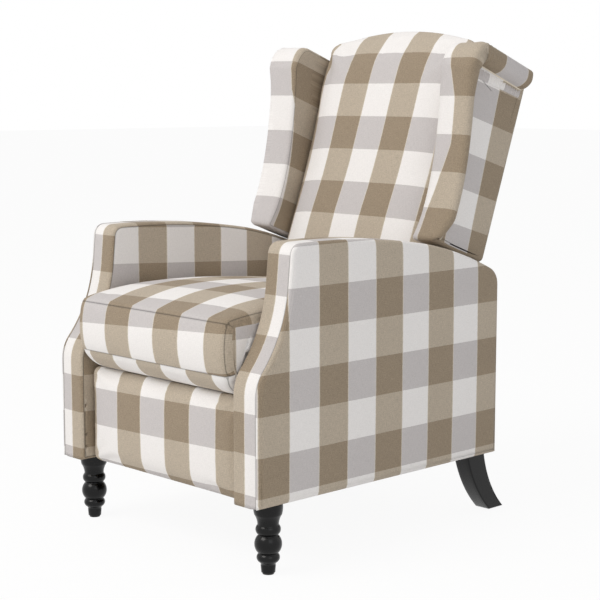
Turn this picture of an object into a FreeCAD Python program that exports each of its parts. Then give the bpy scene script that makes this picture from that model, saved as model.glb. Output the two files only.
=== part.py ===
import FreeCAD, Part
import math
import os
import Sketcher

# Wingback recliner, millimetres, +Z up, front faces -Y, origin on the floor under the middle of the chair

Vec = FreeCAD.Vector
Turn = FreeCAD.Rotation
Place = FreeCAD.Placement
X_AXIS = Vec(1, 0, 0)
Y_AXIS = Vec(0, 1, 0)
Z_AXIS = Vec(0, 0, 1)
SIDES = (("left", -1), ("right", 1))

# Driving dimensions, each written once and kept in the sheet

SIZES = {
    "soft_gap": 0.3,
    "running_gap": 0.05,
    # arms
    "arm_outer": 312.0,
    "arm_thick": 74.0,
    "arm_front": -420.0,
    "arm_rear": 268.0,
    "arm_edge_round": 7.0,
    "arm_wall": 12.0,
    "leg_height": 138.0,
    "arm_tall": 488.0,
    "arm_shoulder_drop": 281.0,
    "arm_panel_thick": 15.0,
    "arm_post_deep": 30.0,
    "arm_post_gap": 1.0,
    "front_post_drop": 12.0,
    "rear_post_drop": 138.0,
    # cross rails and rear panel
    "cross_rail_thick": 25.0,
    "cross_rail_tall": 45.0,
    "front_rail_y": -165.0,
    "rail_lift": 4.0,
    "rear_panel_thick": 18.0,
    "rear_panel_tall": 260.0,
    # legs
    "front_leg_offset": 11.0,
    "front_leg_setback": 56.0,
    "rear_leg_wide": 40.0,
    "rear_leg_setback": 33.5,
    "rear_leg_top_deep": 55.0,
    "rear_leg_splay": 68.0,
    "rear_leg_foot_deep": 46.0,
    "rear_leg_rear_bend": 240.0,
    "rear_leg_front_bend": 270.0,
    "glide_radius": 11.0,
    "glide_thick": 3.0,
    "bolt_radius": 4.0,
    "bolt_reach": 30.0,
    "bolt_head_radius": 7.0,
    "bolt_head_tall": 6.0,
    "rear_bolt_shift": 10.0,
    # mechanism layers and pins
    "steel_thick": 3.0,
    "layer_gap": 1.0,
    "bar_radius": 10.0,
    "pin_radius": 5.0,
    "pivot_radius": 8.0,
    "pin_stand_out": 0.5,
    "screw_radius": 3.0,
    "screw_head_radius": 6.0,
    "screw_head_tall": 1.4,
    # swing links and back pivot
    "swing_length": 94.0,
    "swing_lean": 17.5,
    "front_swing_y": -148.3,
    "rear_swing_y": 31.7,
    "swing_base_rise": 72.0,
    "back_pivot_y": 170.0,
    "drive_rise": 10.7,
    "drive_slot_drop": 9.7,
    "drive_slot_travel": 10.7,
    # footrest linkage, given relative to the carriage
    "lift_pivot_y": -280.0,
    "lift_pivot_rise": 40.35,
    "lift_length": 175.0,
    "lift_lean": 20.0,
    "guide_offset_y": 37.3,
    "guide_offset_z": -25.1,
    "carrier_reach": 120.5,
    "tie_rise": 42.0,
    "crank_length": 40.0,
    "crank_lean": 45.0,
    "crank_slot_play": 1.2,
    "crank_slot_drop": 3.0,
    "crank_slot_travel": 20.0,
    # seat
    "seat_side_gap": 6.0,
    "seat_front": -424.0,
    "seat_front_bulge": 8.0,
    "seat_seam_rise": 86.0,
    "seat_boxing_tall": 100.0,
    "seat_lip_setback": 39.0,
    "seat_lip_drop": 40.0,
    "seat_crown": 40.0,
    "seat_crown_setback": 184.0,
    "seat_rear_y": 66.0,
    "seat_rear_slope": 32.0,
    "seat_corner": 24.0,
    "seat_rail_thick": 22.0,
    "seat_rail_rise": 50.35,
    "seat_rail_tall": 42.0,
    "seat_frame_setback": 54.0,
    "seat_frame_rear": 70.0,
    "spring_wire_radius": 1.8,
    "spring_pitch": 30.0,
    "spring_half_wide": 32.0,
    "clip_wide": 26.0,
    "clip_thick": 1.5,
    # footrest
    "footrest_side_gap": 6.0,
    "hanger_reach": 14.516,
    "footrest_crown": 5.0,
    "footrest_drop": 2.0,
    "footrest_top_gap": 2.0,
    "footrest_corner": 12.0,
    "footrest_pad_thick": 27.0,
    "board_thick": 15.0,
    "board_inset": 18.0,
    # back, in its own leaning frame: up the back and square to it
    "back_lean": 20.0,
    "back_foot_run": 75.0,
    "back_foot_rise": 60.0,
    "pad_side_gap": 10.0,
    "pad_bottom": -60.0,
    "pad_top_edge": 578.0,
    "pad_arch_rise": 39.0,
    "pad_crown": 30.0,
    "pad_corner": 16.0,
    "pad_lumbar_foot": 100.0,
    "pad_lumbar_top": 210.0,
    "pad_shoulder_drop": 238.0,
    "pad_head_drop": 78.0,
    "webbing_thick": 2.0,
    "webbing_wide": 50.0,
    "stile_front": 45.0,
    "stile_deep": 40.0,
    "stile_thick": 28.0,
    "stile_top_drop": 18.0,
    "back_rail_tall": 45.0,
    "back_rear": 120.0,
    "cover_proud": 6.0,
    "cover_edge_drop": 4.0,
    "cover_middle_drop": 6.0,
    "cover_wall": 12.0,
    "cover_bottom": -45.0,
    # wings
    "wing_pad_gap": 4.0,
    "wing_arm_reach": 45.66,
    "wing_top_drop": 23.0,
    "wing_waist_rise": 160.0,
    "wing_ear_drop": 63.0,
    "wing_board_thick": 15.0,
    "wing_board_margin": 20.0,
    "bracket_wing_gap": 31.0,
    "wing_front": -95.0,
}

doc = FreeCAD.newDocument("wingback_recliner")
sheet = doc.addObject("Spreadsheet::Sheet", "Sizes")
for row, (alias, value) in enumerate(SIZES.items(), 1):
    sheet.set(f"A{row}", alias)
    sheet.set(f"B{row}", str(value))
    sheet.setAlias(f"B{row}", alias)
doc.recompute()


class Size:
    """A number from the sheet together with the expression that gives it."""

    def __init__(self, value, text):
        self.value = value
        self.text = text

    def joined(self, other, sign, value):
        return Size(value, f"({self.text} {sign} {text_of(other)})")

    def __add__(self, other):
        return self.joined(other, "+", self.value + number(other))

    def __sub__(self, other):
        return self.joined(other, "-", self.value - number(other))

    def __mul__(self, other):
        return self.joined(other, "*", self.value * number(other))

    def __truediv__(self, other):
        return self.joined(other, "/", self.value / number(other))

    def __radd__(self, other):
        return Size(number(other) + self.value, f"({text_of(other)} + {self.text})")

    def __rsub__(self, other):
        return Size(number(other) - self.value, f"({text_of(other)} - {self.text})")

    def __neg__(self):
        return Size(-self.value, f"(0 - {self.text})")

    __rmul__ = __mul__


def number(item):
    return item.value if isinstance(item, Size) else float(item)


def text_of(item):
    return item.text if isinstance(item, Size) else f"({float(item)!r})"


def size(alias):
    return Size(float(sheet.get(alias)), f"Sizes.{alias}")


def turned(length, angle, ratio):
    """A length times the sine or cosine of an angle given in degrees."""
    factor = getattr(math, ratio)(math.radians(number(angle)))
    call = f"{ratio}({text_of(angle)} * 1 deg)"
    return Size(number(length) * factor, f"({text_of(length)} * {call})")


nodes = {}


def keep(label, item):
    item.Label = label
    nodes[label] = item
    return item


def bind(item, name, value):
    if isinstance(value, Size):
        item.setExpression(name, value.text)
    else:
        setattr(item, name, value)


def move_to(item, corner):
    item.Placement = Place(Vec(*(number(c) for c in corner)), Turn())
    for axis, value in zip("xyz", corner):
        if isinstance(value, Size):
            item.setExpression(f"Placement.Base.{axis}", value.text)


def span(side, low, high):
    """The X range of a piece on one side of the chair, from its inner and outer distance."""
    return (low, high) if side > 0 else (-high, -low)


def box(name, x_range, y_range, z_range):
    item = doc.addObject("Part::Box", name)
    for side_name, (low, high) in zip(("Length", "Width", "Height"), (x_range, y_range, z_range)):
        bind(item, side_name, high - low)
    move_to(item, (x_range[0], y_range[0], z_range[0]))
    return item


def upright(name, x, y, z_range, radius):
    item = doc.addObject("Part::Cylinder", name)
    bind(item, "Radius", radius)
    bind(item, "Height", z_range[1] - z_range[0])
    move_to(item, (x, y, z_range[0]))
    return item


def crosswise(name, x_range, y, z, radius):
    """A cylinder along X, held by a turned placement."""
    item = doc.addObject("Part::Cylinder", name)
    bind(item, "Radius", radius)
    bind(item, "Height", x_range[1] - x_range[0])
    item.Placement = Place(Vec(number(x_range[0]), number(y), number(z)), Turn(Y_AXIS, 90))
    return item


def joined(name, items):
    item = doc.addObject("Part::MultiFuse", name)
    item.Shapes = items
    return item


def grouped(name, items):
    item = doc.addObject("Part::Compound", name)
    item.Links = items
    return item


def cut(name, base, tool):
    item = doc.addObject("Part::Cut", name)
    item.Base = base
    item.Tool = tool
    return item


def shared(name, base, tool):
    item = doc.addObject("Part::Common", name)
    item.Base = base
    item.Tool = tool
    return item


def formed(name, shape, place=None):
    item = doc.addObject("Part::Feature", name)
    item.Shape = shape
    item.Placement = place or Place()
    return item


# Sketches: an outline is a start point and steps, each a line or an arc of given radius and turn

LEFT_TURN = 1
RIGHT_TURN = -1


def origin_plane(body, role):
    return [item for item in body.Origin.OriginFeatures if item.Role == role][0]


def new_sketch(body, name, role="YZ_Plane", height=None, hub=None, angle=0.0):
    sketch = body.newObject("Sketcher::SketchObject", name)
    sketch.AttachmentSupport = [(origin_plane(body, role), "")]
    sketch.MapMode = "FlatFace"
    hub = hub or (0.0, 0.0)
    base = Vec(number(hub[0]), number(hub[1]), number(height or 0.0))
    sketch.AttachmentOffset = Place(base, Turn(Z_AXIS, number(angle)))
    for axis, value in zip("xyz", (hub[0], hub[1], height)):
        if isinstance(value, Size):
            sketch.setExpression(f"AttachmentOffset.Base.{axis}", value.text)
    return sketch


def hold(sketch, kind, geometry, end, value):
    """Fixes one coordinate of a sketch point, on the axis itself where the value is nothing."""
    if abs(number(value)) < 1e-9:
        axis = -2 if kind == "DistanceX" else -1
        sketch.addConstraint(Sketcher.Constraint("PointOnObject", geometry, end, axis))
        return
    index = sketch.addConstraint(Sketcher.Constraint(kind, geometry, end, number(value)))
    if isinstance(value, Size):
        sketch.setExpression(f"Constraints[{index}]", value.text)


def hold_radius(sketch, geometry, radius):
    index = sketch.addConstraint(Sketcher.Constraint("Radius", geometry, number(radius)))
    if isinstance(radius, Size):
        sketch.setExpression(f"Constraints[{index}]", radius.text)


def arc_between(first, last, radius, turn):
    half = (last - first).Length / 2
    across = Vec(first.y - last.y, last.x - first.x, 0).normalize()
    centre = (first + last) / 2 + across * math.sqrt(max(radius * radius - half * half, 0.0)) * turn
    start = math.atan2(first.y - centre.y, first.x - centre.x)
    stop = math.atan2(last.y - centre.y, last.x - centre.x)
    if turn < 0:
        start, stop = stop, start
    if stop <= start:
        stop += 2 * math.pi
    return Part.ArcOfCircle(Part.Circle(centre, Z_AXIS, radius), start, stop)


def draw_outline(sketch, start, steps):
    points = [start] + [step[1] for step in steps]
    spots = [Vec(number(p[0]), number(p[1]), 0) for p in points]
    ends = []
    for index, step in enumerate(steps):
        first, last = spots[index], spots[index + 1]
        if step[0] == "line":
            geometry = sketch.addGeometry(Part.LineSegment(first, last))
            ends.append((geometry, 1, 2))
        else:
            radius, turn = step[2], step[3]
            geometry = sketch.addGeometry(arc_between(first, last, number(radius), turn))
            ends.append((geometry, 1, 2) if turn > 0 else (geometry, 2, 1))
    for index, (geometry, _, tail) in enumerate(ends):
        following, head, _ = ends[(index + 1) % len(ends)]
        sketch.addConstraint(Sketcher.Constraint("Coincident", geometry, tail, following, head))
    for index, (geometry, head, _) in enumerate(ends):
        hold(sketch, "DistanceX", geometry, head, points[index][0])
        hold(sketch, "DistanceY", geometry, head, points[index][1])
        if steps[index][0] == "arc":
            hold_radius(sketch, geometry, steps[index][2])


def draw_polygon(sketch, corners):
    draw_outline(sketch, corners[0], [("line", corner) for corner in corners[1:] + corners[:1]])


def draw_circle(sketch, centre, radius):
    spot = Vec(number(centre[0]), number(centre[1]), 0)
    geometry = sketch.addGeometry(Part.Circle(spot, Z_AXIS, number(radius)))
    hold(sketch, "DistanceX", geometry, 3, centre[0])
    hold(sketch, "DistanceY", geometry, 3, centre[1])
    hold_radius(sketch, geometry, radius)


def draw_slot(sketch, first, length, radius, along="x"):
    """A round-ended slot from the first centre along the sketch's x or y axis."""
    down = along == "x"
    step = Vec(number(length), 0, 0) if down else Vec(0, number(length), 0)
    one = Vec(number(first[0]), number(first[1]), 0)
    two = one + step
    reach = number(radius)
    side = Vec(0, reach, 0) if down else Vec(-reach, 0, 0)
    lean = 0.0 if down else math.pi / 2
    head = Part.ArcOfCircle(Part.Circle(one, Z_AXIS, reach), lean + math.pi / 2, lean + 1.5 * math.pi)
    tail = Part.ArcOfCircle(Part.Circle(two, Z_AXIS, reach), lean - math.pi / 2, lean + math.pi / 2)
    arc_one = sketch.addGeometry(head)
    arc_two = sketch.addGeometry(tail)
    edge_one = sketch.addGeometry(Part.LineSegment(one - side, two - side))
    edge_two = sketch.addGeometry(Part.LineSegment(two + side, one + side))
    for pair in ((arc_one, 2, edge_one, 1), (edge_one, 2, arc_two, 1), (arc_two, 2, edge_two, 1),
                 (edge_two, 2, arc_one, 1)):
        sketch.addConstraint(Sketcher.Constraint("Tangent", *pair))
    last = (first[0] + length, first[1]) if down else (first[0], first[1] + length)
    for geometry, centre in ((arc_one, first), (arc_two, last)):
        hold(sketch, "DistanceX", geometry, 3, centre[0])
        if geometry == arc_one or not down:
            hold(sketch, "DistanceY", geometry, 3, centre[1])
    hold_radius(sketch, arc_one, radius)


def new_body(name):
    return doc.addObject("PartDesign::Body", name)


def pad_sketch(body, name, sketch, length):
    pad = body.newObject("PartDesign::Pad", name)
    pad.Profile = sketch
    bind(pad, "Length", length)
    return pad


def add_pin(body, name, hub, x_range, radius):
    sketch = new_sketch(body, name + "_circle", height=x_range[0], hub=hub)
    draw_circle(sketch, (0.0, 0.0), radius)
    return pad_sketch(body, name, sketch, x_range[1] - x_range[0])


def bar(name, side, layer, first, angle, length, holes=(), pins=()):
    """A flat link: hubs on its centre line, some bored and some with a pin that stands out."""
    body = new_body(name)
    low, high = span(side, *layer)
    sketch = new_sketch(body, name + "_outline", height=low, hub=first, angle=angle)
    draw_slot(sketch, (0.0, 0.0), length, size("bar_radius"))
    for distance, radius in holes:
        draw_circle(sketch, (distance, 0.0), radius)
    pad_sketch(body, name + "_pad", sketch, high - low)
    for index, (hub, reach, radius) in enumerate(pins):
        add_pin(body, f"{name}_pin_{index}", hub, span(side, *reach), radius)
    return body


# Places of the pivots, from the sizes

gap = size("soft_gap")
running = size("running_gap")
steel = size("steel_thick")
pin = size("pin_radius")
bore = pin + running
arm_outer = size("arm_outer")
arm_inner = arm_outer - size("arm_thick")
floor_gap = size("leg_height")
arm_front = size("arm_front")
arm_rear = size("arm_rear")
arm_top = floor_gap + size("arm_tall")


def layer_inside(outer_layer, clearance):
    """The X range of a layer of steel plates that lies inside another, past a clearance."""
    high = outer_layer[0] - clearance
    return high - steel, high


PLATE_LAYER = (arm_inner - steel, arm_inner)
SWING_LAYER = layer_inside(PLATE_LAYER, size("layer_gap") * 2)
BACK_LAYER = layer_inside(SWING_LAYER, size("layer_gap") * 2)
CARRIER_LAYER = layer_inside(BACK_LAYER, size("layer_gap") * 2)
LIFT_LAYER = layer_inside(CARRIER_LAYER, size("layer_gap"))
CARRIAGE_LAYER = layer_inside(LIFT_LAYER, size("layer_gap"))
seat_rail_outer = CARRIAGE_LAYER[0]
stile_outer = BACK_LAYER[0]
pad_half = stile_outer - size("pad_side_gap")
wing_inner = pad_half + size("wing_pad_gap")
seat_half = arm_inner - size("seat_side_gap")
footrest_half = arm_inner - size("footrest_side_gap")

swing_rise = turned(size("swing_length"), size("swing_lean"), "cos")
swing_run = turned(size("swing_length"), size("swing_lean"), "sin")
swing_base = floor_gap + size("swing_base_rise")
swing_feet = {
    "front": (size("front_swing_y"), swing_base),
    "rear": (size("rear_swing_y"), swing_base),
}
swing_heads = {key: (foot[0] + swing_run, foot[1] + swing_rise) for key, foot in swing_feet.items()}
head_level = swing_base + swing_rise
back_pivot = (size("back_pivot_y"), head_level + size("drive_rise") + swing_rise)
drive_pin = (back_pivot[0] + swing_run, head_level + size("drive_rise"))
rail_low = head_level + size("seat_rail_rise")
rail_high = rail_low + size("seat_rail_tall")

lift_angle = size("lift_lean") - 90.0
lift_pivot = (size("lift_pivot_y"), head_level + size("lift_pivot_rise"))


def along_lift(start, distance):
    y = start[0] + turned(distance, size("lift_lean"), "sin")
    z = start[1] - turned(distance, size("lift_lean"), "cos")
    return y, z


lift_end = along_lift(lift_pivot, size("lift_length"))
guide_pivot = (lift_pivot[0] + size("guide_offset_y"), lift_pivot[1] + size("guide_offset_z"))
guide_end = along_lift(guide_pivot, size("lift_length"))
guide_gap = math.hypot(number(size("guide_offset_y")), number(size("guide_offset_z")))
carrier_turn = math.atan2(-number(size("guide_offset_z")), -number(size("guide_offset_y")))
carrier_lean = size("guide_offset_z") / size("guide_offset_y")
carrier_step = (-size("carrier_reach") * math.cos(math.atan(number(carrier_lean))),
                size("carrier_reach") * math.sin(math.atan(-number(carrier_lean))))
carrier_end = (lift_end[0] + carrier_step[0], lift_end[1] + carrier_step[1])
tie_foot = along_lift(lift_end, -size("tie_rise"))
tie_end = (tie_foot[0] + carrier_step[0], tie_foot[1] + carrier_step[1])
crank_angle = 90.0 + size("crank_lean")
crank_pin = (lift_pivot[0] - turned(size("crank_length"), size("crank_lean"), "sin"),
             lift_pivot[1] + turned(size("crank_length"), size("crank_lean"), "cos"))

# Seams and faces that pieces share

seat_seam = rail_high + size("seat_seam_rise")
seat_lower_seam = seat_seam - size("seat_boxing_tall")
seat_lip = seat_lower_seam - size("seat_lip_drop")
board_rear = tie_end[0] - size("hanger_reach")
board_front = board_rear - size("board_thick")
footrest_bottom = floor_gap - size("footrest_drop")
footrest_top = seat_lip - size("footrest_top_gap")
pad_top_middle = size("pad_top_edge") + size("pad_arch_rise")
stile_top = size("pad_top_edge") - size("stile_top_drop")
wing_top = size("pad_top_edge") - size("wing_top_drop")
cover_rear = size("back_rear") + size("cover_proud")

back_foot = (back_pivot[0] - size("back_foot_run"), back_pivot[1] + size("back_foot_rise"))
back_lean = number(size("back_lean"))
back_place = Place(Vec(0, number(back_foot[0]), number(back_foot[1])), Turn(X_AXIS, -back_lean))
arm_above_foot = number(arm_top - back_foot[1]) / math.cos(math.radians(back_lean))
wing_bottom = arm_above_foot - number(size("wing_arm_reach"))


# Arms: a padded shell, a plywood panel inside it and timber posts

arm_shoulder = arm_top - size("arm_shoulder_drop")
ARM_PROFILE = (
    # kind, run behind the front, height, radius, turn, inward normal's slope
    ("line", 0.0, arm_shoulder, None, None, 0.0),
    ("arc", 20.0, arm_shoulder + 52.0, 78.0, RIGHT_TURN, 40.0),
    ("arc", 82.0, arm_top - 81.0, 274.0, LEFT_TURN, 6.0),
    ("line", 88.0, arm_top - 20.0, None, None, 6.0),
    ("arc", 112.0, arm_top, 24.0, RIGHT_TURN, 87.0),
    ("arc", 466.0, arm_top - 26.0, 1810.0, RIGHT_TURN, 100.0),
)
ARM_REAR_PROFILE = (
    # distance ahead of the rear, height, radius, inward normal's slope
    (24.0, arm_top - 89.0, 947.0, 115.0),
    (0.0, arm_top - 126.0, 40.0, 180.0),
)


def arm_outline(inset):
    """The arm's side outline, drawn in by an even inset for the hollow and the panel."""
    steps = []
    for kind, run, level, radius, turn, slope in ARM_PROFILE:
        spot = (arm_front + run + turned(inset, slope, "cos"), level - turned(inset, slope, "sin"))
        if kind == "line":
            steps.append(("line", spot))
        else:
            steps.append(("arc", spot, radius + inset * turn, turn))
    for run, level, radius, slope in ARM_REAR_PROFILE:
        spot = (arm_rear - run + turned(inset, slope, "cos"), level - turned(inset, slope, "sin"))
        steps.append(("arc", spot, radius - inset, RIGHT_TURN))
    steps.append(("line", (arm_rear - inset, floor_gap + inset)))
    start = (arm_front + inset, floor_gap + inset)
    steps.append(("line", start))
    return start, steps


def arm_slab(name, side, x_range, inset):
    body = new_body(name)
    low, high = span(side, *x_range)
    sketch = new_sketch(body, name + "_outline", height=low)
    draw_outline(sketch, *arm_outline(inset))
    return body, pad_sketch(body, name + "_pad", sketch, high - low)


def side_faces(shape):
    names = []
    for index, face in enumerate(shape.Faces, 1):
        if abs(abs(face.normalAt(0, 0).x) - 1) < 1e-6:
            names.append(f"Face{index}")
    return names


screw_spots = (
    (crank_pin[0] + 33.3, crank_pin[1] - 3.3),
    (swing_feet["front"][0] + 53.3, swing_base + 5.0),
    (swing_feet["rear"][0] - 51.7, swing_base + 5.0),
    (back_pivot[0] - 20.0, back_pivot[1] - 25.0),
)
wall = size("arm_wall")
panel_outer = arm_inner + wall + size("arm_panel_thick")
bolt = size("bolt_radius")
bolt_bottom = floor_gap - size("bolt_reach")
bolt_top = floor_gap + wall
front_leg = (panel_outer + size("front_leg_offset"), arm_front + size("front_leg_setback"))
rear_bolt_x = panel_outer + size("bolt_head_radius")
rear_leg = (rear_bolt_x - size("rear_bolt_shift"), arm_rear - size("rear_leg_setback"))
leg_bolt_spots = (("front", *front_leg), ("rear", rear_bolt_x, rear_leg[1]))


def make_arms():
    for side_name, side in SIDES:
        body, pad = arm_slab(f"arm_outer_{side_name}", side, (arm_inner, arm_outer), 0.0)
        doc.recompute()
        rounded = body.newObject("PartDesign::Fillet", f"arm_rounding_{side_name}")
        rounded.Base = (pad, side_faces(pad.Shape))
        bind(rounded, "Radius", size("arm_edge_round"))
        hollow, _ = arm_slab(f"arm_hollow_{side_name}", side, (arm_inner + wall, arm_outer - wall), wall)
        reach = span(side, arm_inner - 1.0, panel_outer)
        tools = [hollow]
        screws = [crosswise(f"arm_screw_hole_{side_name}_{i}", reach, y, z, size("screw_radius"))
                  for i, (y, z) in enumerate(screw_spots)]
        for place, x, y in leg_bolt_spots:
            bolt_range = (floor_gap - 1.0, bolt_top + 1.0)
            tools.append(upright(f"arm_bolt_hole_{place}_{side_name}", x * side, y, bolt_range, bolt))
        holes = joined(f"arm_holes_{side_name}", tools + screws)
        keep(f"arm_cover_{side_name}", cut(f"arm_cover_{side_name}", body, holes))
        panel, _ = arm_slab(f"arm_panel_blank_{side_name}", side, (arm_inner + wall, panel_outer), wall + gap)
        bored = joined(f"panel_holes_{side_name}", screws)
        keep(f"arm_panel_{side_name}", cut(f"arm_panel_{side_name}", panel, bored))
        make_posts(side_name, side)


def make_posts(side_name, side):
    deep = size("arm_post_deep")
    x_range = span(side, panel_outer, arm_outer - wall - size("arm_post_gap"))
    front = (arm_front + wall, arm_front + wall + deep)
    front_z = (floor_gap + wall, arm_shoulder - size("front_post_drop"))
    rear = (arm_rear - wall - deep, arm_rear - wall)
    rear_z = (bolt_top + size("bolt_head_tall") + gap, arm_top - size("rear_post_drop"))
    keep(f"arm_front_post_{side_name}", box(f"front_post_{side_name}", x_range, front, front_z))
    keep(f"arm_rear_post_{side_name}", box(f"rear_post_{side_name}", x_range, rear, rear_z))


def make_base():
    inner = (-arm_inner, arm_inner)
    low = floor_gap + size("rail_lift")
    tall = (low, low + size("cross_rail_tall"))
    thick = size("cross_rail_thick")
    front = (size("front_rail_y"), size("front_rail_y") + thick)
    panel_front = arm_rear - size("rear_panel_thick")
    keep("front_cross_rail", box("front_rail", inner, front, tall))
    keep("rear_cross_rail", box("rear_rail", inner, (panel_front - thick, panel_front), tall))
    panel_z = (floor_gap, floor_gap + size("rear_panel_tall"))
    keep("rear_panel", box("rear_panel_block", inner, (panel_front, arm_rear), panel_z))


# Legs: turned at the front, sabre shaped at the rear, each on a glide and held by a bolt

FRONT_LEG_PROFILE = (
    # radius and height of each point, arc radius and turn
    (13.5, 3.0, None, None),
    (14.5, 18.0, None, None),
    (19.5, 25.0, 9.0, RIGHT_TURN),
    (19.5, 39.0, 9.7, LEFT_TURN),
    (19.5, 77.0, 26.6, LEFT_TURN),
    (21.0, 96.0, 11.9, LEFT_TURN),
    (26.0, 115.0, 40.0, RIGHT_TURN),
    (28.0, 138.0, 60.0, LEFT_TURN),
)


def make_legs():
    bolts = []
    glides = []
    glide = size("glide_radius")
    for side_name, side in SIDES:
        x, y = front_leg[0] * side, front_leg[1]
        keep(f"front_leg_{side_name}", turned_leg(side_name, x, y))
        glides.append(upright(f"front_glide_{side_name}", x, y, (0.0, size("glide_thick")), glide))
        leg, foot = sabre_leg(side_name, side)
        keep(f"rear_leg_{side_name}", leg)
        glides.append(upright(f"rear_glide_{side_name}", foot[0], foot[1], (0.0, size("glide_thick")), glide))
        for place, bolt_x, bolt_y in leg_bolt_spots:
            spot = (bolt_x * side, bolt_y)
            shank = upright(f"shank_{place}_{side_name}", *spot, (bolt_bottom, bolt_top), bolt)
            head_z = (bolt_top, bolt_top + size("bolt_head_tall"))
            head = upright(f"head_{place}_{side_name}", *spot, head_z, size("bolt_head_radius"))
            bolts.append(joined(f"bolt_{place}_{side_name}", [shank, head]))
    keep("leg_bolts", grouped("leg_bolt_group", bolts))
    keep("leg_glides", grouped("glide_group", glides))


def turned_leg(side_name, x, y):
    """Turned leg, its heights stretched evenly with the leg's height."""
    body = new_body(f"front_leg_turning_{side_name}")
    sketch = new_sketch(body, f"front_leg_profile_{side_name}", role="XZ_Plane")
    top = FRONT_LEG_PROFILE[-1][1]
    glide = size("glide_thick")
    rise = (floor_gap - glide) / (top - FRONT_LEG_PROFILE[0][1])
    steps = []
    for radius, height, curve, turn in FRONT_LEG_PROFILE:
        spot = (radius, glide + rise * (height - FRONT_LEG_PROFILE[0][1]))
        if curve:
            steps.append(("arc", spot, curve, turn))
        else:
            steps.append(("line", spot))
    for spot in ((bolt, floor_gap), (bolt, bolt_bottom), (0.0, bolt_bottom), (0.0, glide)):
        steps.append(("line", spot))
    draw_outline(sketch, (0.0, glide), steps)
    turning = body.newObject("PartDesign::Revolution", f"front_leg_turn_{side_name}")
    turning.Profile = sketch
    turning.ReferenceAxis = (sketch, ["V_Axis"])
    turning.Angle = 360
    move_to(body, (x, y, 0.0))
    return body


def sabre_leg(side_name, side):
    body = new_body(f"rear_leg_blank_{side_name}")
    half = size("rear_leg_wide") / 2
    low, high = span(side, rear_leg[0] - half, rear_leg[0] + half)
    sketch = new_sketch(body, f"rear_leg_profile_{side_name}", height=low)
    top_half = size("rear_leg_top_deep") / 2
    top_front = (rear_leg[1] - top_half, floor_gap)
    top_rear = (rear_leg[1] + top_half, floor_gap)
    foot_rear = (top_rear[0] + size("rear_leg_splay"), size("glide_thick"))
    foot_front = (foot_rear[0] - size("rear_leg_foot_deep"), size("glide_thick"))
    steps = [("line", top_rear), ("arc", foot_rear, size("rear_leg_rear_bend"), LEFT_TURN),
             ("line", foot_front), ("arc", top_front, size("rear_leg_front_bend"), RIGHT_TURN)]
    draw_outline(sketch, top_front, steps)
    pad_sketch(body, f"rear_leg_pad_{side_name}", sketch, high - low)
    _, x, y = leg_bolt_spots[1]
    hole = upright(f"rear_leg_bore_{side_name}", x * side, y, (bolt_bottom, floor_gap + 1.0), bolt)
    foot = (rear_leg[0] * side, (foot_rear[0] + foot_front[0]) / 2)
    return cut(f"rear_leg_bored_{side_name}", body, hole), foot


# Mechanism: base plates, swing links, carriage plates, footrest linkage and back brackets


def flat_plate(name, side, plate_layer, corners, holes=(), slots=()):
    body = new_body(name)
    low, high = span(side, *plate_layer)
    sketch = new_sketch(body, name + "_outline", height=low)
    draw_polygon(sketch, corners)
    for centre, radius in holes:
        draw_circle(sketch, centre, radius)
    for first, length, radius in slots:
        draw_slot(sketch, first, length, radius, along="y")
    pad_sketch(body, name + "_pad", sketch, high - low)
    return body


def make_base_plates():
    stand_out = size("pin_stand_out")
    crank_slot_low = crank_pin[1] - size("crank_slot_drop")
    crank_travel = size("crank_slot_travel")
    slot_radius = pin + size("crank_slot_play")
    left_edge = crank_pin[0] - 18.0
    right_edge = crank_pin[0] + 18.0
    foot = swing_base - 18.0
    top = back_pivot[1] + 20.0
    corners = [
        (left_edge, crank_slot_low - 14.0), (swing_feet["front"][0] - 32.0, foot),
        (swing_feet["rear"][0] + 38.0, foot), (back_pivot[0] + 30.0, back_pivot[1] - 20.0),
        (back_pivot[0] + 20.0, top), (back_pivot[0] - 28.0, top),
        (swing_feet["rear"][0] - 12.0, foot + 58.0), (swing_feet["front"][0] + 18.0, foot + 58.0),
        (right_edge + 28.0, crank_slot_low + 7.0), (right_edge, crank_slot_low + crank_travel + 17.0),
        (left_edge, crank_slot_low + crank_travel + 17.0),
    ]
    screws = []
    for side_name, side in SIDES:
        name = f"base_plate_{side_name}"
        holes = [(spot, size("screw_radius")) for spot in screw_spots]
        slots = [((crank_pin[0], crank_slot_low), crank_travel, slot_radius)]
        body = flat_plate(name, side, PLATE_LAYER, corners, holes, slots)
        reach = (SWING_LAYER[0] - stand_out, PLATE_LAYER[0])
        for key, foot_spot in swing_feet.items():
            add_pin(body, f"{name}_{key}_stud", foot_spot, span(side, *reach), pin)
        back_reach = (BACK_LAYER[0] + gap, PLATE_LAYER[0])
        add_pin(body, f"{name}_back_stud", back_pivot, span(side, *back_reach), size("pivot_radius"))
        keep(name, body)
        head_range = span(side, PLATE_LAYER[0] - size("screw_head_tall"), PLATE_LAYER[0])
        shank_range = span(side, PLATE_LAYER[0], panel_outer)
        for index, (y, z) in enumerate(screw_spots):
            tag = f"{side_name}_{index}"
            head = crosswise(f"screw_head_{tag}", head_range, y, z, size("screw_head_radius"))
            shank = crosswise(f"screw_shank_{tag}", shank_range, y, z, size("screw_radius"))
            screws.append(joined(f"base_screw_{tag}", [head, shank]))
    keep("base_screws", grouped("base_screw_group", screws))


def make_swing_links():
    for side_name, side in SIDES:
        for key, foot in swing_feet.items():
            holes = ((0.0, bore), (size("swing_length"), bore))
            name = f"{key}_swing_link_{side_name}"
            angle = 90.0 - size("swing_lean")
            keep(name, bar(name, side, SWING_LAYER, foot, angle, size("swing_length"), holes))


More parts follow.
